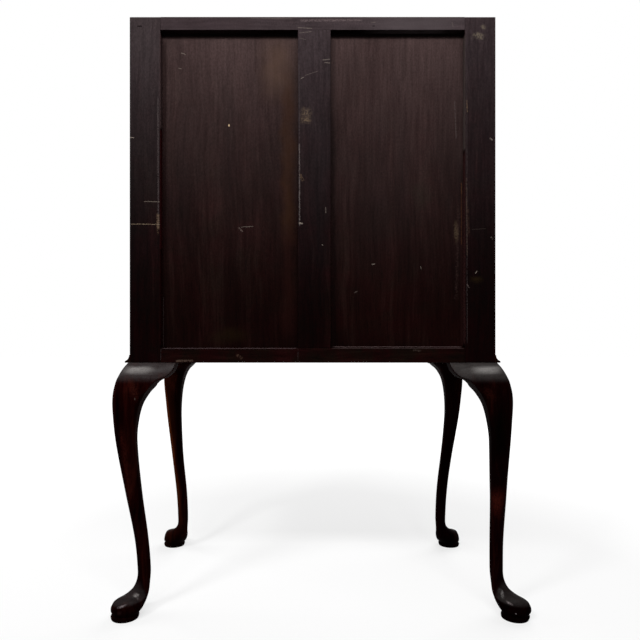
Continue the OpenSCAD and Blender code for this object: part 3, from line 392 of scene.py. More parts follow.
    def wear_and_painted_light(self, colour, height, marks, depth):
        """Lays the marks over the colour, and cuts them a little into the height."""
        shaken = {kind: self.shaken(*shake) for kind, shake in SHAKES.items()}
        for number, mark in enumerate(marks.values()):
            start, end = photo_point(mark.start, depth), photo_point(mark.end, depth)
            run = end - start
            half = (max(run.length / 2, SHORTEST) + mark.width / 3, THROUGH, mark.width / 2)
            kind = "thin"
            if mark.width > (BROAD_BROKEN if mark.breakup else BROAD_WHOLE):
                kind = "broad"
            elif mark.width > PATCH and mark.breakup > 0:
                kind = "patch"
            soft = CRISP_MARK if kind == "thin" and not depth else SOFT_MARK
            mask = self.soft_box(shaken[kind], (start + end) / 2, half, -math.atan2(run.z, run.x), soft)
            if mark.breakup:
                mask = self.times(mask, self.worn(number, mark.breakup))
            mask = self.times(mask, mark.strength)
            colour = self.mix(colour, mark.colour, mask)
            height = self.math("SUBTRACT", height, self.times(mask, 0.5))
        return colour, height


def wood(name, along, dark, mid, light, rough, specular, bump, seed, coarse=1.0, fine=1.0, fore=None,
         mottle=0.0, light_and_dust=None, side_light=None, painted_sheen=None, painted_highlight=None, front=False, marks=None, depth=0.0):
    """Old wood: broad streaks, fine fibres, pores, stain blotches, the marks of wear, and painted light,
    shade and highlights.
    """
    s = Wood(name, along, seed, coarse, fine)
    colour = s.streaks(dark, mid, light)
    if fore:
        colour = s.show_side(colour, fore, edges_only=light_and_dust is not None)
    colour = s.stain(colour, blotch=0.35)
    if mottle:
        colour = s.mottle(colour, mottle)
    # painted light and sheen from above, with dust
    if light_and_dust:
        colour = s.light_and_dust(colour, light_and_dust)
    # painted light on the side that faces +X
    if side_light:
        colour = s.side_light(colour, side_light)
    # painted sheen and highlight on the legs
    if painted_sheen:
        colour = s.painted_sheen(colour, painted_sheen, painted_highlight, front)
    height = s.math("SUBTRACT", s.times(s.fibre, 0.5), s.times(s.pits, 0.6))
    if marks:
        colour, height = s.wear_and_painted_light(colour, height, marks, depth)
    scratches = s.noise(s.p, scale=900, detail=2.0, rough=0.5)
    height = s.math("ADD", height, s.times(scratches, 0.08))
    roughness = s.vary(s.noise(s.grain, scale=48, detail=3.0, rough=0.6), rough - 0.04, rough + 0.05)
    return s.finish(colour, roughness, height, bump, distance=0.0006, Specular_IOR_Level=specular)


def metal(name, base, tarnish, rough, seed):
    """Old brass or steel: tarnish in patches, brighter where it is rubbed, fine scratches."""
    s = Surface(name)
    p = s.vec("ADD", s.coords, (seed, seed, seed))
    patch = s.noise(p, scale=130, detail=5.0, rough=0.65)
    scratches = s.noise(s.place(p, (1, 1, 0.2)), scale=1500, detail=2.0, rough=0.5)
    colour = s.mix(base, tarnish, s.ramp(patch, 0.42, 0.66))
    roughness = s.vary(patch, rough - 0.08, rough + 0.18)
    height = s.math("ADD", s.times(scratches, 0.4), patch)
    return s.finish(colour, roughness, height, bump=0.12, distance=0.0003, Metallic=1.0)


# Distances of the two tooled lines from the edge of the leather, and where a line begins and ends to
# fade, from its middle
TOOLED = (0.01, 0.0135)
TOOLED_LINE = (0.0004, 0.0011)


def leather(name, base, worn):
    """Old writing leather: pebbled grain, rubbed paler in places, a blind tooled border."""
    s = Surface(name)
    v = s.node("ShaderNodeTexVoronoi", feature="DISTANCE_TO_EDGE")
    s.link(s.coords, v.inputs["Vector"])
    v.inputs["Scale"].default_value = 640
    pebbles = s.ramp(v.outputs["Distance"], 0.0, 0.32)
    rub = s.noise(s.coords, scale=7, detail=5.0, rough=0.62)
    colour = s.mix(base, worn, s.ramp(rub, 0.42, 0.68))
    colour = s.scaled(colour, s.vary(s.noise(s.coords, scale=60, detail=3.0, rough=0.6), 0.8, 1.15))
    low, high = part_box("writing_leather")
    middle, half = (low + high) / 2, (high - low) / 2
    x, _, z = s.apart(s.coords)
    lines = []
    for inset in TOOLED:
        from_side = s.math("SUBTRACT", half.x - inset, s.math("ABSOLUTE", s.math("SUBTRACT", x, middle.x)))
        from_end = s.math("SUBTRACT", half.z - inset, s.math("ABSOLUTE", s.math("SUBTRACT", z, middle.z)))
        near = s.math("ABSOLUTE", s.math("MINIMUM", from_side, from_end))
        lines.append(s.ramp(near, *TOOLED_LINE, 1.0, 0.0))
    border = s.math("MAXIMUM", *lines)
    colour = s.darken(colour, border, 0.5)
    height = s.math("SUBTRACT", pebbles, s.times(border, 1.5))
    return s.finish(colour, 0.5, height, bump=0.35, distance=0.0004, Specular_IOR_Level=0.35)


# Colours of the marks of wear, and of the painted shade and highlights among them
TAN = (0.13, 0.082, 0.05)
PALE = (0.2, 0.165, 0.14)
BLACK = (0.004, 0.002, 0.002)
LINE = (0.06, 0.046, 0.046)
RED_BLACK = (0.007, 0.0008, 0.001)
LILAC_LINE = (0.092, 0.062, 0.066)
WORN_OFF = (0.15, 0.12, 0.088)

# The marks of wear, and painted shade, light and highlights, each from one photo pixel to another: width
# in metres, colour, strength, and how broken up it is. Left and right are as the photo shows them, from
# behind.
STILE_LEFT_MARKS = {
    "rubbed arris": Mark((157.9, 96), (158.4, 228), 0.003, LINE, 0.75, 0.1),
    "chip on the arris": Mark((158.0, 214), (158.0, 229), 0.007, (0.13, 0.085, 0.055), 0.75, 0.5),
    "upper scribed line": Mark((144, 201.5), (160, 201.8), 0.0014, (0.14, 0.115, 0.095), 0.8, 0),
    "lower scribed line": Mark((131, 224), (160, 224.4), 0.002, (0.17, 0.125, 0.085), 0.8, 0.1),
    "nail hole": Mark((137.5, 26), (142, 26.4), 0.003, BLACK, 0.9, 0),
    "nick in the edge": Mark((129.5, 137.4), (134, 137.6), 0.002, PALE, 0.8, 0),
    "bare wood": Mark((157, 226), (158, 235), 0.003, TAN, 0.4, 1.0),
    # Painted light on the step to the panel, which lies in shade: paler high up, darker lower down
    "painted light on the step to the panel, high": Mark((160.4, 34), (160.4, 128), 0.003, (0.06, 0.036, 0.036), 0.7, 0),
    "painted light on the step to the panel, mid": Mark((160.4, 128), (160.4, 250), 0.003, (0.022, 0.003, 0.0036), 0.75, 0),
    "painted light on the step to the panel, low": Mark((160.4, 250), (160.4, 346), 0.003, (0.01, 0.0014, 0.0016), 0.7, 0),
}
MUNTIN_MARKS = {
    "upper rub": Mark((303.0, 113.0), (309.0, 113.5), 0.03, (0.15, 0.105, 0.07), 0.6, 0.55),
    "lower rub": Mark((301.0, 120.0), (310.0, 120.5), 0.017, (0.16, 0.11, 0.07), 0.85, 0.6),
    "rubbed arris": Mark((299.4, 143), (299.6, 226), 0.003, (0.115, 0.095, 0.09), 0.75, 0.2),
    "faint arris": Mark((299.0, 60), (299.4, 142), 0.0022, LINE, 0.6, 0.2),
    "chip on the arris": Mark((300, 174), (303, 181), 0.007, TAN, 0.55, 0.8),
    "nick below the chip": Mark((299, 223), (302.6, 223.5), 0.004, PALE, 0.8, 0),
    "hook of the scratch": Mark((300.8, 78.6), (304, 77.0), 0.0014, PALE, 0.9, 0),
    "long scratch": Mark((305, 75.5), (318, 71), 0.0009, PALE, 0.45, 0),
    "upper twin scratch": Mark((322.5, 60), (330, 59.2), 0.0012, PALE, 0.8, 0),
    "lower twin scratch": Mark((324.5, 62.6), (330, 63), 0.0012, PALE, 0.8, 0),
    "scuff at the top": Mark((299, 33), (312, 31.5), 0.0016, PALE, 0.5, 0.3),
    "short scuff": Mark((299, 38), (306, 39.5), 0.0012, PALE, 0.5, 0.3),
    "dot": Mark((321.7, 244.8), (323.1, 245.2), 0.0022, PALE, 0.6, 0),
    "faint upright": Mark((325.6, 207), (325.8, 213), 0.002, PALE, 0.35, 0),
}
STILE_RIGHT_MARKS = {
    "rub at the top": Mark((473, 36), (484, 36), 0.02, WORN_OFF, 0.75, 0.6),
    "dot over the rub": Mark((482.5, 26.5), (484.5, 27.5), 0.0122, WORN_OFF, 0.6, 0.5),
    "rubbed arris": Mark((466.8, 60), (467.2, 345), 0.0024, LINE, 0.38, 0.3),
    "bare wood at the arris": Mark((466.6, 100), (467.4, 112), 0.003, TAN, 0.7, 0.4),
    "brown arris": Mark((466.2, 176), (467.2, 256), 0.0028, (0.08, 0.05, 0.036), 0.45, 0.5),
    "rub beside the arris": Mark((467.5, 206), (469.0, 236), 0.0064, (0.05, 0.026, 0.018), 0.4, 0.7),
    "upper nick in the edge": Mark((489.8, 138), (492.5, 140), 0.003, PALE, 0.7, 0.5),
    "slanting nick": Mark((475.2, 273.5), (477.4, 270.9), 0.0018, PALE, 0.8, 0.1),
    "chip below": Mark((467, 284), (469.5, 288), 0.0024, (0.11, 0.08, 0.075), 0.6, 0.3),
    "faint scratch across": Mark((472, 229.5), (486, 228.5), 0.001, (0.08, 0.06, 0.05), 0.3, 0),
    "lower nick in the edge": Mark((491, 237), (493, 239), 0.003, PALE, 0.4, 0.4),
    "olive patch": Mark((471, 280), (481, 280), 0.02, (0.022, 0.013, 0.004), 0.45, 0.1),
    # Painted light on the step to the panel, which lies in shade: paler high up, darker lower down
    "painted light on the step to the panel, high": Mark((464.7, 34), (464.7, 150), 0.003, (0.055, 0.04, 0.038), 0.85, 0),
    "painted light on the step to the panel, low": Mark((464.7, 150), (464.7, 346), 0.003, (0.026, 0.0094, 0.0092), 0.8, 0),
}
TOP_RAIL_MARKS = {
    "hole": Mark((372.5, 26), (374.7, 26), 0.0032, BLACK, 0.9, 0),
    "nick over the hole": Mark((371, 22.6), (376, 22), 0.0016, PALE, 0.5, 0.4),
    "worn top edge": Mark((300, 20.4), (362, 20.0), 0.0055, (0.16, 0.12, 0.12), 0.55, 0.6),
    "scuff by the muntin": Mark((298, 27.5), (312, 28.4), 0.0016, PALE, 0.6, 0.2),
    "faint upright": Mark((452, 22), (453, 27), 0.002, PALE, 0.4, 0.3),
    "faint top edge": Mark((250, 18.2), (292, 18.8), 0.0018, PALE, 0.3, 0.4),
    "paler right half": Mark((360, 24), (470, 24), 0.06, (0.084, 0.068, 0.071), 0.5, 0),
    "darker left half": Mark((150, 24), (270, 24), 0.06, (0.03, 0.018, 0.02), 0.35, 0),
}
BOTTOM_RAIL_MARKS = {
    "worn lower edge": Mark((176, 361.0), (193, 360.6), 0.0052, (0.075, 0.048, 0.036), 0.8, 0.3),
    "left rub": Mark((237, 355), (242, 358), 0.008, (0.09, 0.05, 0.035), 0.6, 0.9),
    "right rub": Mark((413, 350.2), (421, 351), 0.004, (0.1, 0.07, 0.06), 0.4, 0.8),
    # Painted highlights on the worn upper arris of the bottom rail, where light from above falls on it
    "worn left arris, painted highlight": Mark((161, 348.5), (298, 348.5), 0.0014, LILAC_LINE, 0.6, 0),
    "worn right arris, painted highlight": Mark((331, 348.4), (465, 348.4), 0.0014, (0.092, 0.062, 0.062), 0.35, 0),
    "joint with the stile": Mark((160.8, 349), (160.8, 361), 0.0012, LINE, 0.5, 0.2),
    "joint with the muntin": Mark((298, 349), (298, 361), 0.0012, LINE, 0.4, 0.2),
}
PANEL_LEFT_MARKS = {
    "broad bleached strip": Mark((277, 34), (277, 92), 0.1, (0.086, 0.05, 0.036), 0.66, 0),
    "tan strip": Mark((288, 60), (288, 246), 0.046, (0.034, 0.014, 0.0065), 0.58, 0),
    "reddish strip": Mark((288, 220), (288, 345), 0.04, (0.02, 0.0055, 0.0042), 0.4, 0),
    "white spot": Mark((228, 121.6), (228, 123.4), 0.0034, (0.5, 0.36, 0.22), 0.95, 0),
    "upper scratch": Mark((179.6, 49), (184, 51), 0.0018, PALE, 0.7, 0.2),
    "lower scratch": Mark((176.6, 64.6), (180, 65.4), 0.0014, PALE, 0.5, 0),
    "scratch across": Mark((240, 225.6), (252.6, 224.8), 0.0018, PALE, 0.5, 0.1),
    "tail of that scratch": Mark((238, 226), (242, 230.6), 0.0034, (0.11, 0.08, 0.07), 0.7, 0.3),
    "shadow under the rail": Mark((158, 31.0), (302, 31.0), 0.0098, BLACK, 0.96, 0),
    # Painted shade in the corner by the stile, dark red, and a softer band beside it
    "painted shade by the stile": Mark((160.2, 30), (160.2, 347), 0.0034, RED_BLACK, 0.5, 0),
    "soft painted shade by the stile": Mark((162.6, 36), (162.6, 345), 0.009, (0.006, 0.0012, 0.0012), 0.3, 0),
    "pale line by the stile": Mark((161.6, 296), (161.6, 347), 0.0016, LINE, 0.3, 0.1),
    # Painted highlight on the lower edge of the panel, where light from above falls on it
    "lower edge, painted highlight": Mark((162, 347.9), (298, 347.9), 0.0014, LILAC_LINE, 0.45, 0),
    "olive patch": Mark((206, 337), (250, 335), 0.044, (0.01, 0.006, 0.0022), 0.5, 0),
}
PANEL_RIGHT_MARKS = {
    # Painted highlight on the lower edge of the panel, where light from above falls on it
    "lower edge, painted highlight": Mark((332, 346.9), (464, 346.9), 0.002, (0.1, 0.066, 0.066), 0.75, 0),
    "shadow under the rail": Mark((328, 31.0), (468, 31.0), 0.0098, BLACK, 0.96, 0),
    "nick": Mark((372.4, 263.3), (375.6, 262.9), 0.0022, PALE, 0.8, 0),
    "upright nick": Mark((422, 265.2), (422.4, 268.2), 0.0014, PALE, 0.5, 0),
    "slanting nick": Mark((354.5, 292.5), (358.2, 290.4), 0.0022, (0.12, 0.09, 0.08), 0.5, 0.6),
    "long pale rub": Mark((457.6, 218), (458.6, 243), 0.013, (0.085, 0.058, 0.036), 0.65, 0.1),
    "orange line by the stile": Mark((463.4, 180), (463.4, 244), 0.0022, (0.085, 0.034, 0.014), 0.7, 0.1),
    "upper pale line": Mark((456.5, 98), (458, 136), 0.003, (0.085, 0.066, 0.062), 0.45, 0.5),
    # Painted shadow that the muntin casts on the panel
    "painted shadow of the muntin": Mark((333.5, 122), (333.5, 345), 0.0125, BLACK, 0.38, 0),
    "lower pale line": Mark((460.5, 200), (458, 300), 0.01, (0.045, 0.025, 0.022), 0.45, 0.8),
    # Painted light on the edge of the panel by the stile, which lies in shade
    "painted light on the reddish edge": Mark((464.0, 190), (464.0, 346), 0.008, (0.015, 0.0052, 0.005), 0.5, 0),
    "olive patch": Mark((418, 176), (424, 206), 0.05, (0.02, 0.016, 0.012), 0.5, 0.2),
}
LEG_MARKS = {
    "left knee, red": Mark((133.5, 384), (135.5, 400), 0.026, (0.036, 0.009, 0.006), 0.55, 0.6),
    "left knee, nick": Mark((135.0, 397.4), (135.6, 400.2), 0.0026, (0.13, 0.11, 0.1), 0.6, 0.3),
    "left shin, red": Mark((121, 425), (127, 500), 0.018, (0.036, 0.0065, 0.0045), 0.5, 0.6),
    # Painted highlights on the instep and toe of the left foot
    "left instep, painted highlight": Mark((130.2, 599.4), (135.0, 602.2), 0.011, (0.34, 0.31, 0.3), 0.85, 0.1),
    "left toe, painted highlight": Mark((117.4, 607.2), (126.6, 605.2), 0.005, (0.21, 0.175, 0.18), 0.85, 0.1),
    "left toe, dull": Mark((118.5, 612), (122.0, 612), 0.011, (0.035, 0.016, 0.016), 0.25, 0),
    "right knee, red": Mark((484, 388), (495, 401), 0.026, (0.024, 0.0045, 0.003), 0.6, 0.6),
    "right shin, red": Mark((498.5, 494), (500, 522), 0.048, (0.074, 0.0115, 0.007), 0.9, 0.2),
    "right shin, black": Mark((499.5, 404), (499.5, 460), 0.062, (0.0006, 0.0004, 0.0002), 0.9, 0),
    "left ankle, red": Mark((133, 528), (137, 578), 0.018, (0.04, 0.007, 0.004), 0.5, 0.5),
    # Painted highlights on the instep and toe of the right foot, and a glint
    "right instep, painted highlight": Mark((505.2, 596.0), (506.8, 601.6), 0.01, (0.3, 0.28, 0.275), 0.85, 0.1),
    "right toe, painted highlight": Mark((508.2, 604.4), (513.4, 605.6), 0.0052, (0.21, 0.175, 0.175), 0.85, 0.1),
    "right toe, glint": Mark((514.5, 612.6), (515.5, 612.4), 0.003, (0.24, 0.22, 0.22), 0.7, 0),
}


def tones(dark, mid, light):
    return {"dark": dark, "mid": mid, "light": light}


# Grey lilac colours of the painted light and sheen from above, with dust, on the back
LIGHT_AND_DUST = (0.08, 0.058, 0.063)
STILE_LIGHT_AND_DUST = (0.074, 0.055, 0.058)
PANEL_LIGHT_AND_DUST = (0.086, 0.054, 0.052)
FRAME_TONES = tones((0.0014, 0.0002, 0.0002), (0.003, 0.0005, 0.0005), (0.0075, 0.0024, 0.0022))
RAIL_TONES = tones((0.0024, 0.0007, 0.0006), (0.0052, 0.0015, 0.0012), (0.0115, 0.0048, 0.004))
PANEL_TONES = tones((0.0028, 0.0005, 0.0004), (0.0052, 0.0012, 0.001), (0.0105, 0.004, 0.0034))
LEG_TONES = tones((0.0014, 0.0001, 0.0002), (0.0058, 0.0005, 0.0005), (0.0185, 0.003, 0.002))
DARK_LEG_TONES = tones((0.0009, 0.0001, 0.0002), (0.0028, 0.0003, 0.0004), (0.01, 0.0018, 0.0013))
CARCASS_TONES = tones((0.01, 0.0026, 0.0016), (0.029, 0.0082, 0.0047), (0.064, 0.0225, 0.012))
GALLERY_TONES = tones((0.04, 0.014, 0.0075), (0.085, 0.033, 0.016), (0.15, 0.066, 0.033))
OAK_TONES = tones((0.17, 0.095, 0.048), (0.3, 0.18, 0.096), (0.42, 0.28, 0.16))

FRAME_LOOK = dict(FRAME_TONES, mottle=0.25, specular=0.01, bump=0.3)
PANEL_LOOK = dict(PANEL_TONES, mottle=0.13, rough=0.5, specular=0.01, bump=0.22, fine=0.8)
LEG_LOOK = dict(mottle=0.15, bump=0.12, coarse=1.5, fore=CARCASS_TONES)
REAR_LEG_LOOK = dict(LEG_LOOK, rough=0.5, specular=0.0015, marks=LEG_MARKS, depth=LEG_DEPTH)
# painted sheen and highlight on the front legs
FRONT_LEG_LOOK = dict(LEG_LOOK, rough=0.48, specular=0.002, painted_sheen=(0.05, 0.042, 0.041),
                      painted_highlight=(0.15, 0.14, 0.132), front=True)
CARCASS_LOOK = dict(CARCASS_TONES, mottle=0.12, rough=0.36, specular=0.02, bump=0.06)
GALLERY_LOOK = dict(GALLERY_TONES, rough=0.42, specular=0.06, bump=0.15)
OAK_LOOK = dict(OAK_TONES, rough=0.6, specular=0.25, bump=0.3)

# Left and right of the back, too, are as the photo shows them
MATERIALS = {
    # The frame and panels of the back are painted paler and greyer towards the top, as light and sheen from
    # above, with dust
    "stile_l": wood("back_stile_left", "z", **FRAME_LOOK, fore=CARCASS_TONES, rough=0.5, seed=1.0,
                    light_and_dust=LightAndDust(STILE_LIGHT_AND_DUST, strength=0.45, power=2.4), marks=STILE_LEFT_MARKS),
    "stile_r": wood("back_stile_right", "z", **FRAME_LOOK, fore=CARCASS_TONES, rough=0.5, seed=2.3,
                    light_and_dust=LightAndDust(LIGHT_AND_DUST, strength=0.34, power=2.2), marks=STILE_RIGHT_MARKS),
    "muntin": wood("back_muntin", "z", **FRAME_LOOK, rough=0.5, seed=3.1,
                   light_and_dust=LightAndDust(LIGHT_AND_DUST, strength=0.5, power=2.3), marks=MUNTIN_MARKS),
    "rail_top": wood("back_rail_top", "x", **FRAME_LOOK, fore=CARCASS_TONES, rough=0.46, seed=4.7,
                     light_and_dust=LightAndDust(LIGHT_AND_DUST, strength=0.52, power=2.1), marks=TOP_RAIL_MARKS),
    "rail_low": wood("back_rail_bottom", "x", **RAIL_TONES, mottle=0.35, rough=0.52, specular=0.01,
                     seed=5.9, bump=0.35,
                     light_and_dust=LightAndDust(LIGHT_AND_DUST, strength=0.12, power=2.1), marks=BOTTOM_RAIL_MARKS),
    "panel_l": wood("back_panel_left", "z", **PANEL_LOOK, seed=6.4,
                    light_and_dust=LightAndDust(PANEL_LIGHT_AND_DUST, strength=0.66, power=2.5), marks=PANEL_LEFT_MARKS),
    "panel_r": wood("back_panel_right", "z", **PANEL_LOOK, seed=7.7,
                    light_and_dust=LightAndDust(PANEL_LIGHT_AND_DUST, strength=0.62, power=2.1), marks=PANEL_RIGHT_MARKS),
    # the rear legs get a painted sheen on knees and feet, and a painted highlight on the knees
    "legs": wood("leg_mahogany", "z", **LEG_TONES, **REAR_LEG_LOOK, seed=8.8,
                 painted_sheen=(0.054, 0.0475, 0.0475), painted_highlight=(0.26, 0.243, 0.234)),
    "dark_leg": wood("leg_mahogany_dark", "z", **DARK_LEG_TONES, **REAR_LEG_LOOK, seed=7.1,
                     painted_sheen=(0.054, 0.0485, 0.047), painted_highlight=(0.26, 0.245, 0.236)),
    "front_leg": wood("front_leg_mahogany", "z", **DARK_LEG_TONES, **FRONT_LEG_LOOK, seed=9.0),
    # the front leg on the +X side gets painted light on that side
    "side_lit_leg": wood("front_leg_mahogany_side_lit", "z", **LEG_TONES, **FRONT_LEG_LOOK, seed=9.7,
                      side_light=(0.068, 0.015, 0.0046)),
    "carcass_x": wood("carcass_mahogany_x", "x", **CARCASS_LOOK, seed=9.2),
    "carcass_z": wood("carcass_mahogany_z", "z", **CARCASS_LOOK, seed=10.6),
    "gallery_x": wood("gallery_mahogany_x", "x", **GALLERY_LOOK, seed=11.9),
    "gallery_z": wood("gallery_mahogany_z", "z", **GALLERY_LOOK, seed=12.7),
    "oak_x": wood("drawer_oak_x", "x", **OAK_LOOK, seed=13.3),
    "oak_y": wood("drawer_oak_y", "y", **OAK_LOOK, seed=14.1),
    "leather": leather("writing_leather", base=(0.075, 0.04, 0.018), worn=(0.155, 0.092, 0.046)),
    "brass": metal("aged_brass", base=(0.62, 0.42, 0.17), tarnish=(0.26, 0.15, 0.055), rough=0.3, seed=1.3),
    "steel": metal("aged_steel", base=(0.42, 0.4, 0.37), tarnish=(0.16, 0.13, 0.11), rough=0.34, seed=2.6),
}

# CAD nodes that keep their own shape
FINISHES = {
    "stile_l": ["back_right_stile"],
    "stile_r": ["back_left_stile"],
    "muntin": ["back_muntin"],
    "rail_top": ["back_top_rail"],
    "rail_low": ["back_bottom_rail"],
    "panel_l": ["back_right_panel"],
    "panel_r": ["back_left_panel"],
    "carcass_x": ["top_board", "bottom_board", "desk_board", "drawer_rails", "base_front_moulding",
                  "upper_drawer_front", "lower_drawer_front", "fall_panel"],
    "carcass_z": ["left_side", "right_side", "fall_clamps"],
    "gallery_x": ["gallery_shelf", "gallery_top", "gallery_valances", "small_left_front",
                  "small_right_front"],
    "gallery_z": ["gallery_ends", "gallery_dividers"],
    "oak_x": ["upper_drawer_bottom", "lower_drawer_bottom", "leg_dowels"],
    "oak_y": ["drawer_runners", "small_left_box", "small_right_box", "upper_drawer_box", "lower_drawer_box"],
    "leather": ["writing_leather"],
    "steel": ["key"],
    "brass": ["stay_guides", "side_pivots", "lock_strike", "quadrant_stays", "fall_pivot_plates", "fall_lock",
              "fall_escutcheon", "lock_bolt", "small_left_knob", "small_right_knob", "upper_handle_plates",
              "upper_bail_left", "upper_bail_right", "lower_handle_plates", "lower_bail_left",
              "lower_bail_right"],
}
# Width of the softened arrises, in metres; metal has none, and is shaded smooth
SOFT = {"stile_l": 0.0012, "stile_r": 0.0012, "muntin": 0.001, "rail_top": 0.0012, "rail_low": 0.0012,
        "panel_l": 0.0006, "panel_r": 0.0006, "carcass_x": 0.001, "carcass_z": 0.001, "gallery_x": 0.0008,
        "gallery_z": 0.0008, "oak_x": 0.0008, "oak_y": 0.0008, "leather": 0.0004}
# Distance within which corners are joined, in metres, and angles between faces, in degrees
WELD = 1e-6
FLAT_ANGLE = 0.5
ARRIS_ANGLE = 40
SHARP_ANGLE = 32
SHARP_ANGLE_CARVED = 38


def dress(ob, finish):
    """Gives an object one finish all over."""
    ob.data.materials.clear()
    ob.data.materials.append(MATERIALS[finish])


def soften(ob, width):
    """Joins the split corners of a CAD mesh, then rounds its sharp edges a little."""
    for p in ob.data.polygons:
        p.use_smooth = False
    weld = ob.modifiers.new("weld", "WELD")
    weld.merge_threshold = WELD
    flat = ob.modifiers.new("flat", "DECIMATE")
    flat.decimate_type = "DISSOLVE"
    flat.angle_limit = math.radians(FLAT_ANGLE)
    bevel = ob.modifiers.new("bevel", "BEVEL")
    bevel.width = width
    bevel.segments = 2
    bevel.limit_method = "ANGLE"
    bevel.angle_limit = math.radians(ARRIS_ANGLE)
    bevel.use_clamp_overlap = True
    bevel.harden_normals = False


def smooth(mesh, sharp=SHARP_ANGLE):
    """Shades a mesh smooth, but not over edges that are sharper than an angle."""
    for p in mesh.polygons:
        p.use_smooth = True
    mesh.set_sharp_from_angle(angle=math.radians(sharp))


for finish, names in FINISHES.items():
    for name in names:
        dress(nodes[name], finish)
        if finish in SOFT:
            soften(nodes[name], SOFT[finish])
        else:
            smooth(nodes[name].data)

# The side mouldings have the finish of the bottom rail, and a round cove that is shaded smooth
dress(nodes["base_side_mouldings"], "rail_low")
smooth(nodes["base_side_mouldings"].data)


# Cabriole legs and brackets, as smooth surfaces through the same outlines as in the CAD source

# A millimetre of the outlines, which were drawn for a leg of 520 mm
UNIT = 0.001 * LEG_H / 0.520
# Heights and radii of a leg, and distances out from or in from the side of the carcass, in metres
KNEE_DROP = 0.063
KNEE_Z = LEG_H - KNEE_DROP
KNEE_OUT = 0.0315
ANKLE_H = 0.088
ANKLE_R = 0.0135
ANKLE_IN = 0.0238
ANKLE_OUT = ANKLE_R - ANKLE_IN
SHIN = KNEE_Z - ANKLE_H
TOE_OUT = 0.038
TOE_H = 0.017
PAD_R = 0.0285
PAD_T = 0.006
PAD_OUT = 0.007
GROOVE_Z = PAD_T + 4 * UNIT
BLOCK_IN = 0.050
# The splay begins under the knee and is complete at a height over the floor
REAR_LEFT_SPLAY = 0.034
SPLAY_FROM = KNEE_Z - KNEE_OUT
SPLAY_TO = 40 * UNIT
# The lean begins on the shin, takes a part of it, and goes back by a share over the knee
FRONT_LEFT_LEAN = 0.009
LEAN_FROM = ANKLE_H + SHIN / 4
LEAN_RUN = 0.65 * SHIN
LEAN_BACK = 0.7
# The rear brackets draw in by a share towards their tips, and have a bead at their foot, whose height
# is no more than a share of theirs
REAR_BRACKET = 0.096
FRONT_BRACKET = 0.076
BRACKET_IN = 0.024
BRACKET_FADE = 0.3
BEAD = 2.6 * UNIT
BEAD_SHARE = 0.45
# The worn toes stand a little higher than the plain profile, most at the front feet
REAR_TOE_LIFT = 0.0020
FRONT_TOE_LIFT = 0.0065
# The pad of the splayed foot stands inwards of its toe, as a share of the splay
PAD_SHIFT = 0.11

# Outer edge of a leg, as heights and distances out from the side of the carcass
OUTER_FOOT = [
    (0, PAD_OUT + PAD_R - 1.5 * UNIT), (PAD_T, PAD_OUT + PAD_R),
    (GROOVE_Z, PAD_OUT + PAD_R - 3.5 * UNIT), (TOE_H - UNIT, TOE_OUT - 2.8 * UNIT),
]
OUTER_TOE = [
    (TOE_H + 4 * UNIT, TOE_OUT - 3.4 * UNIT), (TOE_H + 10 * UNIT, TOE_OUT - 6 * UNIT),
    (TOE_H + 15 * UNIT, TOE_OUT - 9.5 * UNIT), (TOE_H + 19 * UNIT, TOE_OUT - 19.5 * UNIT),
    (TOE_H + 25 * UNIT, ANKLE_OUT + 16.8 * UNIT), (ANKLE_H - 37 * UNIT, ANKLE_OUT + 7.3 * UNIT),
]
OUTER_LEG = [
    (ANKLE_H - 20 * UNIT, ANKLE_OUT + 1.2 * UNIT), (ANKLE_H, ANKLE_OUT),
    (ANKLE_H + 0.18 * SHIN, 0.84 * ANKLE_OUT + 3.2 * UNIT),
    (ANKLE_H + 0.45 * SHIN, 0.42 * KNEE_OUT - 3.5 * UNIT),
    (ANKLE_H + 0.73 * SHIN, 0.79 * KNEE_OUT), (KNEE_Z - 30 * UNIT, KNEE_OUT - 0.5 * UNIT),
    (KNEE_Z, KNEE_OUT - 0.5 * UNIT), (KNEE_Z + 0.35 * KNEE_DROP, KNEE_OUT - 4.6 * UNIT),
    (KNEE_Z + 0.6 * KNEE_DROP, KNEE_OUT - 11.2 * UNIT), (LEG_H - 11 * UNIT, 12.2 * UNIT), (LEG_H, 4 * UNIT),
]
# Inner edge, which is the same for all legs up to the lower shin
INNER_FOOT = [
    (0, PAD_OUT - PAD_R + 1.5 * UNIT), (PAD_T, PAD_OUT - PAD_R), (GROOVE_Z, PAD_OUT - PAD_R + UNIT),
    (TOE_H, -ANKLE_IN - 2.7 * UNIT), (TOE_H + 15 * UNIT, -ANKLE_IN - 8.8 * UNIT),
    (ANKLE_H - 30 * UNIT, -ANKLE_IN - ANKLE_R + 1.8 * UNIT), (ANKLE_H, -ANKLE_IN - ANKLE_R),
    (ANKLE_H + 0.18 * SHIN, -ANKLE_IN - 9.3 * UNIT),
]
INNER_REAR = [
    (ANKLE_H + 0.45 * SHIN, -22.9 * UNIT), (ANKLE_H + 0.73 * SHIN, -16 * UNIT),
    (KNEE_Z - 62 * UNIT, -18.1 * UNIT), (KNEE_Z - 25 * UNIT, -25.6 * UNIT), (KNEE_Z, -38 * UNIT),
    (KNEE_Z + 16 * UNIT, -BLOCK_IN), (KNEE_Z + 34 * UNIT, -BLOCK_IN), (KNEE_Z + 50 * UNIT, -BLOCK_IN),
    (LEG_H, -BLOCK_IN),
]
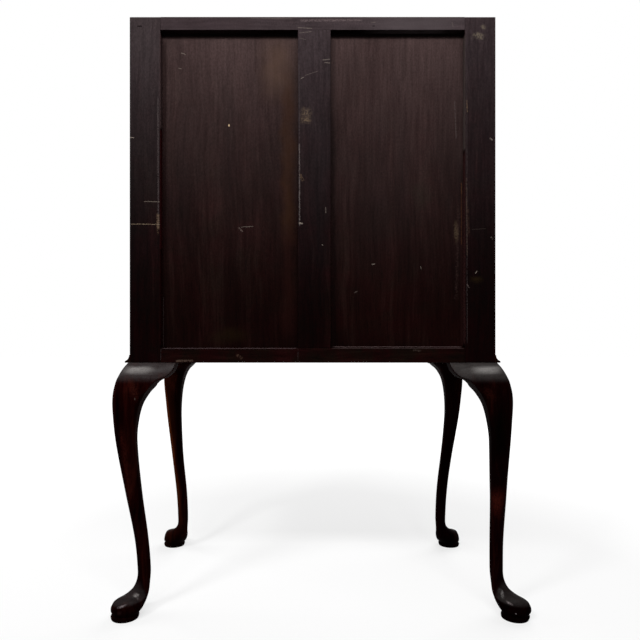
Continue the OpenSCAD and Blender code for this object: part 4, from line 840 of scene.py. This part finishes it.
INNER_FRONT = [
    (ANKLE_H + 0.45 * SHIN, -19.3 * UNIT), (ANKLE_H + 0.73 * SHIN, -11.3 * UNIT),
    (KNEE_Z - 62 * UNIT, -11 * UNIT), (KNEE_Z - 25 * UNIT, -13.3 * UNIT), (KNEE_Z, -17.4 * UNIT),
    (KNEE_Z + 16 * UNIT, -22.3 * UNIT), (KNEE_Z + 34 * UNIT, -32.5 * UNIT), (KNEE_Z + 50 * UNIT, -BLOCK_IN),
    (LEG_H, -BLOCK_IN),
]
# How round a leg is at its outer and at its side corners: 1 is a circle and 0 a square
OUTER_ROUND = [(0, 1), (ANKLE_H, 1), (ANKLE_H + 0.4 * SHIN, 0.9), (KNEE_Z - 20 * UNIT, 0.72),
               (KNEE_Z + 15 * UNIT, 0.62), (LEG_H, 0.3)]
SIDE_ROUND = [(0, 1), (ANKLE_H, 1), (ANKLE_H + 0.4 * SHIN, 0.8), (KNEE_Z - 60 * UNIT, 0.5),
              (KNEE_Z - 10 * UNIT, 0.22), (KNEE_Z + 12 * UNIT, 0.012), (LEG_H, 0.004)]
# How much narrower a leg is across than along its diagonal
SLIM = [(0, 1), (TOE_H - 4 * UNIT, 1), (TOE_H + 12 * UNIT, 0.84), (TOE_H + 24 * UNIT, 0.8),
        (ANKLE_H - 20 * UNIT, 0.97), (ANKLE_H, 1), (LEG_H, 1)]
# Lower edge of a bracket, as distances in from the side of the carcass and drops below it
REAR_EDGE = [
    (BLOCK_IN, KNEE_DROP - 16 * UNIT), (BLOCK_IN + 8 * UNIT, 38.5 * UNIT), (BLOCK_IN + 16 * UNIT, 34 * UNIT),
    (BLOCK_IN + 24 * UNIT, 31 * UNIT), (REAR_BRACKET - 14 * UNIT, 26 * UNIT),
    (REAR_BRACKET - 6 * UNIT, 17 * UNIT), (REAR_BRACKET - 2 * UNIT, 9 * UNIT), (REAR_BRACKET, 2 * UNIT),
]
FRONT_EDGE = [
    (BLOCK_IN, 13 * UNIT), (BLOCK_IN + 5 * UNIT, 10 * UNIT), (BLOCK_IN + 10 * UNIT, 7.2 * UNIT),
    (BLOCK_IN + 18 * UNIT, 3.6 * UNIT), (FRONT_BRACKET, 1.5 * UNIT),
]

Leg = namedtuple("Leg", "rear left splay lean finish")
LEGS = {
    "front_left": Leg(rear=False, left=True, splay=0, lean=FRONT_LEFT_LEAN, finish="front_leg"),
    "front_right": Leg(rear=False, left=False, splay=0, lean=0, finish="side_lit_leg"),
    "rear_left": Leg(rear=True, left=True, splay=REAR_LEFT_SPLAY, lean=0, finish="dark_leg"),
    "rear_right": Leg(rear=True, left=False, splay=0, lean=0, finish="legs"),
}


def curve(stations, at):
    """The same smooth curve through stations as in the CAD source."""
    i = 0
    while i < len(stations) - 2 and at > stations[i + 1][0]:
        i += 1

    def slope(k):
        before, after = max(k - 1, 0), min(k + 1, len(stations) - 1)
        return (stations[after][1] - stations[before][1]) / (stations[after][0] - stations[before][0])

    span = stations[i + 1][0] - stations[i][0]
    t = min(max((at - stations[i][0]) / span, 0), 1)
    start, end = stations[i][1], stations[i + 1][1]
    leave, arrive = slope(i) * span, slope(i + 1) * span
    return (start * (1 + 2 * t) * (1 - t) ** 2 + leave * t * (1 - t) ** 2
            + end * t * t * (3 - 2 * t) + arrive * t * t * (t - 1))


def ease(t):
    """From 0 to 1 with a soft start and end."""
    return 0.5 - 0.5 * math.cos(math.pi * min(max(t, 0), 1))


def outer_edge(leg):
    lift = REAR_TOE_LIFT if leg.rear else FRONT_TOE_LIFT
    return OUTER_FOOT + [(z + lift, out) for z, out in OUTER_TOE] + OUTER_LEG


def inner_edge(leg):
    return INNER_FOOT + (INNER_REAR if leg.rear else INNER_FRONT)


def leg_shift(leg, z):
    """How far the middle of a leg lies out to its side: it splays, leans, and its pad stands inwards."""
    splay = leg.splay * ease((SPLAY_FROM - z) / (SPLAY_FROM - SPLAY_TO))
    lean = leg.lean * ease((z - LEAN_FROM) / LEAN_RUN) * (1 - LEAN_BACK * ease((z - KNEE_Z) / KNEE_DROP))
    return splay + lean - PAD_SHIFT * leg.splay * (1 - ease(z / TOE_H))


def leg_ring(leg, z, steps=10):
    """One level outline of a leg: four rounded corners, slimmer across than along its diagonal."""
    outer = curve(outer_edge(leg), z)
    inner = max(curve(inner_edge(leg), z), -BLOCK_IN)
    mid, half = (outer + inner) / 2, (outer - inner) / 2
    round_out, round_side = half * curve(OUTER_ROUND, z), half * curve(SIDE_ROUND, z)
    slim = curve(SLIM, z)
    wide = math.sqrt(2 - slim * slim)
    shift = leg_shift(leg, z)
    ring = []
    for first, r, x_side, y_side in ((0, round_out, 1, 1), (90, round_side, -1, 1),
                                     (180, round_out, -1, -1), (270, round_side, 1, -1)):
        for k in range(steps + 1):
            a = math.radians(first + 90 * k / steps)
            x = (half - r) * x_side + r * math.cos(a)
            y = (half - r) * y_side + r * math.sin(a)
            along, across = (x + y) / 2, (x - y) / 2
            ring.append((mid + along * wide + across * slim + shift, mid + along * wide - across * slim, z))
    return ring


def loft(rings):
    """Vertices and faces of a closed skin through rings with as many points each."""
    n = len(rings[0])
    verts = [p for ring in rings for p in ring]
    faces = []
    for j in range(len(rings) - 1):
        for i in range(n):
            a, b = j * n + i, j * n + (i + 1) % n
            faces.append((a, b, b + n, a + n))
    first, last = range(n - 1, -1, -1), range(len(verts) - n, len(verts))
    return verts, faces + [tuple(first), tuple(last)]


def spread(low, high, step):
    """Heights from low up to, but not with, high, about a step apart."""
    n = max(1, round((high - low) / step))
    return [low + (high - low) * k / n for k in range(n)]


FOOT_Z = 0.060
THIGH_Z = KNEE_Z - 0.05
LEG_Z = (spread(0, TOE_H, step=0.0008) + spread(TOE_H, FOOT_Z, step=0.0015)
         + spread(FOOT_Z, THIGH_Z, step=0.004) + spread(THIGH_Z, LEG_H, step=0.0025) + [LEG_H])


def bracket_ring(leg, s, rows=12):
    """A section through a bracket: a flat inner side, at the rear a bead, and the knee's outer face."""
    drop = curve(REAR_EDGE if leg.rear else FRONT_EDGE, s)
    low = LEG_H - drop
    fade, bead, gap = 1, 0, 0
    ring = [(-s, -BRACKET_IN, LEG_H), (-s, -BRACKET_IN, low)]
    if leg.rear:
        fade = 1 - BRACKET_FADE * ease((s - BLOCK_IN) / (REAR_BRACKET - BLOCK_IN))
        bead, gap = min(BEAD, drop * BEAD_SHARE), 0.5 * UNIT
        r = bead / 2
        face = fade * curve(OUTER_LEG, low + bead)
        for degrees in range(0, 181, 20):
            a = math.radians(degrees)
            ring.append((-s, face - UNIT + r * 1.1 * math.sin(a), low + r - r * math.cos(a)))
        ring.append((-s, face - 1.5 * UNIT, low + bead + 0.2 * UNIT))
    for j in range(rows + 1):
        z = low + bead + gap + (drop - bead - gap) * j / rows
        ring.append((-s, fade * curve(OUTER_LEG, z), z))
    return ring


def bracket_rings(leg, steps=40):
    """Sections from the leg's block to the tip of a bracket, closer together towards the tip."""
    reach = REAR_BRACKET if leg.rear else FRONT_BRACKET
    return [bracket_ring(leg, BLOCK_IN + (reach - BLOCK_IN) * math.sin(math.pi / 2 * k / steps))
            for k in range(steps + 1)]


def corner_place(leg, p):
    """From a leg's own directions to the frame of the CAD source."""
    x, y = SIDE + p[0], BACK_Y + p[1]
    return MID_X + (-x if leg.left else x), (y if leg.rear else -y), p[2]


def leg_piece(node, leg, skins):
    """A piece from closed skins, which stands for a node of the legs."""
    bm = bmesh.new()
    for verts, faces in skins:
        made = [bm.verts.new(corner_place(leg, v)) for v in verts]
        for f in faces:
            bm.faces.new([made[i] for i in f])
    bmesh.ops.recalc_face_normals(bm, faces=bm.faces)
    name = node + "_shown"
    mesh = bpy.data.meshes.new(name)
    bm.to_mesh(mesh)
    bm.free()
    smooth(mesh, SHARP_ANGLE_CARVED)
    ob = bpy.data.objects.new(name, mesh)
    bpy.context.scene.collection.objects.link(ob)
    dress(ob, leg.finish)
    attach(ob, "carcass")
    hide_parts(node)


for corner, leg in LEGS.items():
    leg_piece("leg_" + corner, leg, [loft([leg_ring(leg, z) for z in LEG_Z])])

for corner, leg in LEGS.items():
    rings = bracket_rings(leg)
    turned = [[(y, x, z) for x, y, z in ring] for ring in rings]
    leg_piece("brackets_" + corner, leg, [loft(rings), loft(turned)])


# Floor, light and camera

FLOOR_SIZE = 60
FLOOR_GREY = (0.34, 0.34, 0.34, 1)
# The floor glows less near the object, so that it holds a shadow: distances, then strengths
GLOW_SPAN = (0.8, 2.8)
GLOW = (0.62, 1.0)
# Light of the world on the object, where the camera and gloss see it at full strength
WORLD_LIGHT = 0.12
WHITE = (1, 1, 1, 1)


def flat_plane(name, size):
    h = size / 2
    mesh = bpy.data.meshes.new(name)
    mesh.from_pydata([(-h, -h, 0), (h, -h, 0), (h, h, 0), (-h, h, 0)], [], [(0, 1, 2, 3)])
    ob = bpy.data.objects.new(name, mesh)
    bpy.context.scene.collection.objects.link(ob)
    return ob


def floor_material():
    """Matt and pale under the lamps, and nearly white to the camera and in gloss."""
    mat = bpy.data.materials.new("pale_floor")
    g = Graph(mat, "ShaderNodeOutputMaterial")
    where = g.node("ShaderNodeTexCoord").outputs["Object"]
    away = g.node("ShaderNodeVectorMath", where, operation="LENGTH").outputs["Value"]
    seen = g.ray_is("Is Camera Ray", "Is Glossy Ray")
    level = g.times(seen, g.ramp(away, *GLOW_SPAN, *GLOW, smooth=False))
    glow = g.node("ShaderNodeEmission", WHITE, level)
    matt = g.node("ShaderNodeBsdfDiffuse", FLOOR_GREY)
    g.show(g.node("ShaderNodeAddShader", matt.outputs[0], glow.outputs[0]).outputs[0])
    return mat


def white_world():
    """White to the camera, in gloss and through glass, and a weak light for the rest."""
    world = bpy.data.worlds.new("studio")
    g = Graph(world, "ShaderNodeOutputWorld")
    seen = g.ray_is("Is Camera Ray", "Is Glossy Ray", "Is Transmission Ray")
    level = g.ramp(seen, 0, 1, WORLD_LIGHT, 1.0, smooth=False)
    g.show(g.node("ShaderNodeBackground", WHITE, level).outputs[0])
    return world


def lamp(name, at, aim, size, power):
    data = bpy.data.lights.new(name, "AREA")
    data.shape = "RECTANGLE"
    data.size, data.size_y = size
    data.energy = power
    ob = bpy.data.objects.new(name, data)
    ob.location = at
    ob.rotation_mode = "QUATERNION"
    ob.rotation_quaternion = (Vector(aim) - Vector(at)).to_track_quat("-Z", "Y")
    bpy.context.scene.collection.objects.link(ob)


def photo_camera():
    """The camera of the photograph, with its off-centre crop as a shift."""
    data = bpy.data.cameras.new("camera")
    data.sensor_width = SENSOR
    data.lens = FOCAL_PX / IMAGE * SENSOR
    data.shift_x = (IMAGE / 2 - PRINCIPAL[0]) / IMAGE
    data.shift_y = (PRINCIPAL[1] - IMAGE / 2) / IMAGE
    ob = bpy.data.objects.new("camera", data)
    ob.location = CAMERA_AT
    ob.rotation_euler = (math.pi / 2, 0, math.pi)
    bpy.context.scene.collection.objects.link(ob)
    return ob


floor = flat_plane("floor", FLOOR_SIZE)
floor.data.materials.append(floor_material())
bpy.context.scene.world = white_world()
# Places and sizes in metres, power in watts
lamp("key_back", at=(1.7, 2.2, 2.9), aim=(0.0, 0.2, 0.9), size=(0.6, 0.5), power=50)
lamp("overhead", at=(0.0, 2.0, 2.45), aim=(0.0, 0.2, 0.8), size=(2.0, 0.3), power=46)
lamp("fill_front", at=(-1.4, -2.2, 2.2), aim=(0, 0, 0.8), size=(3.0, 2.2), power=72)
lamp("fill_side", at=(2.3, -0.6, 1.7), aim=(0, 0, 0.8), size=(1.6, 1.4), power=22)
bpy.context.scene.camera = photo_camera()
bpy.context.scene.view_settings.view_transform = "Standard"
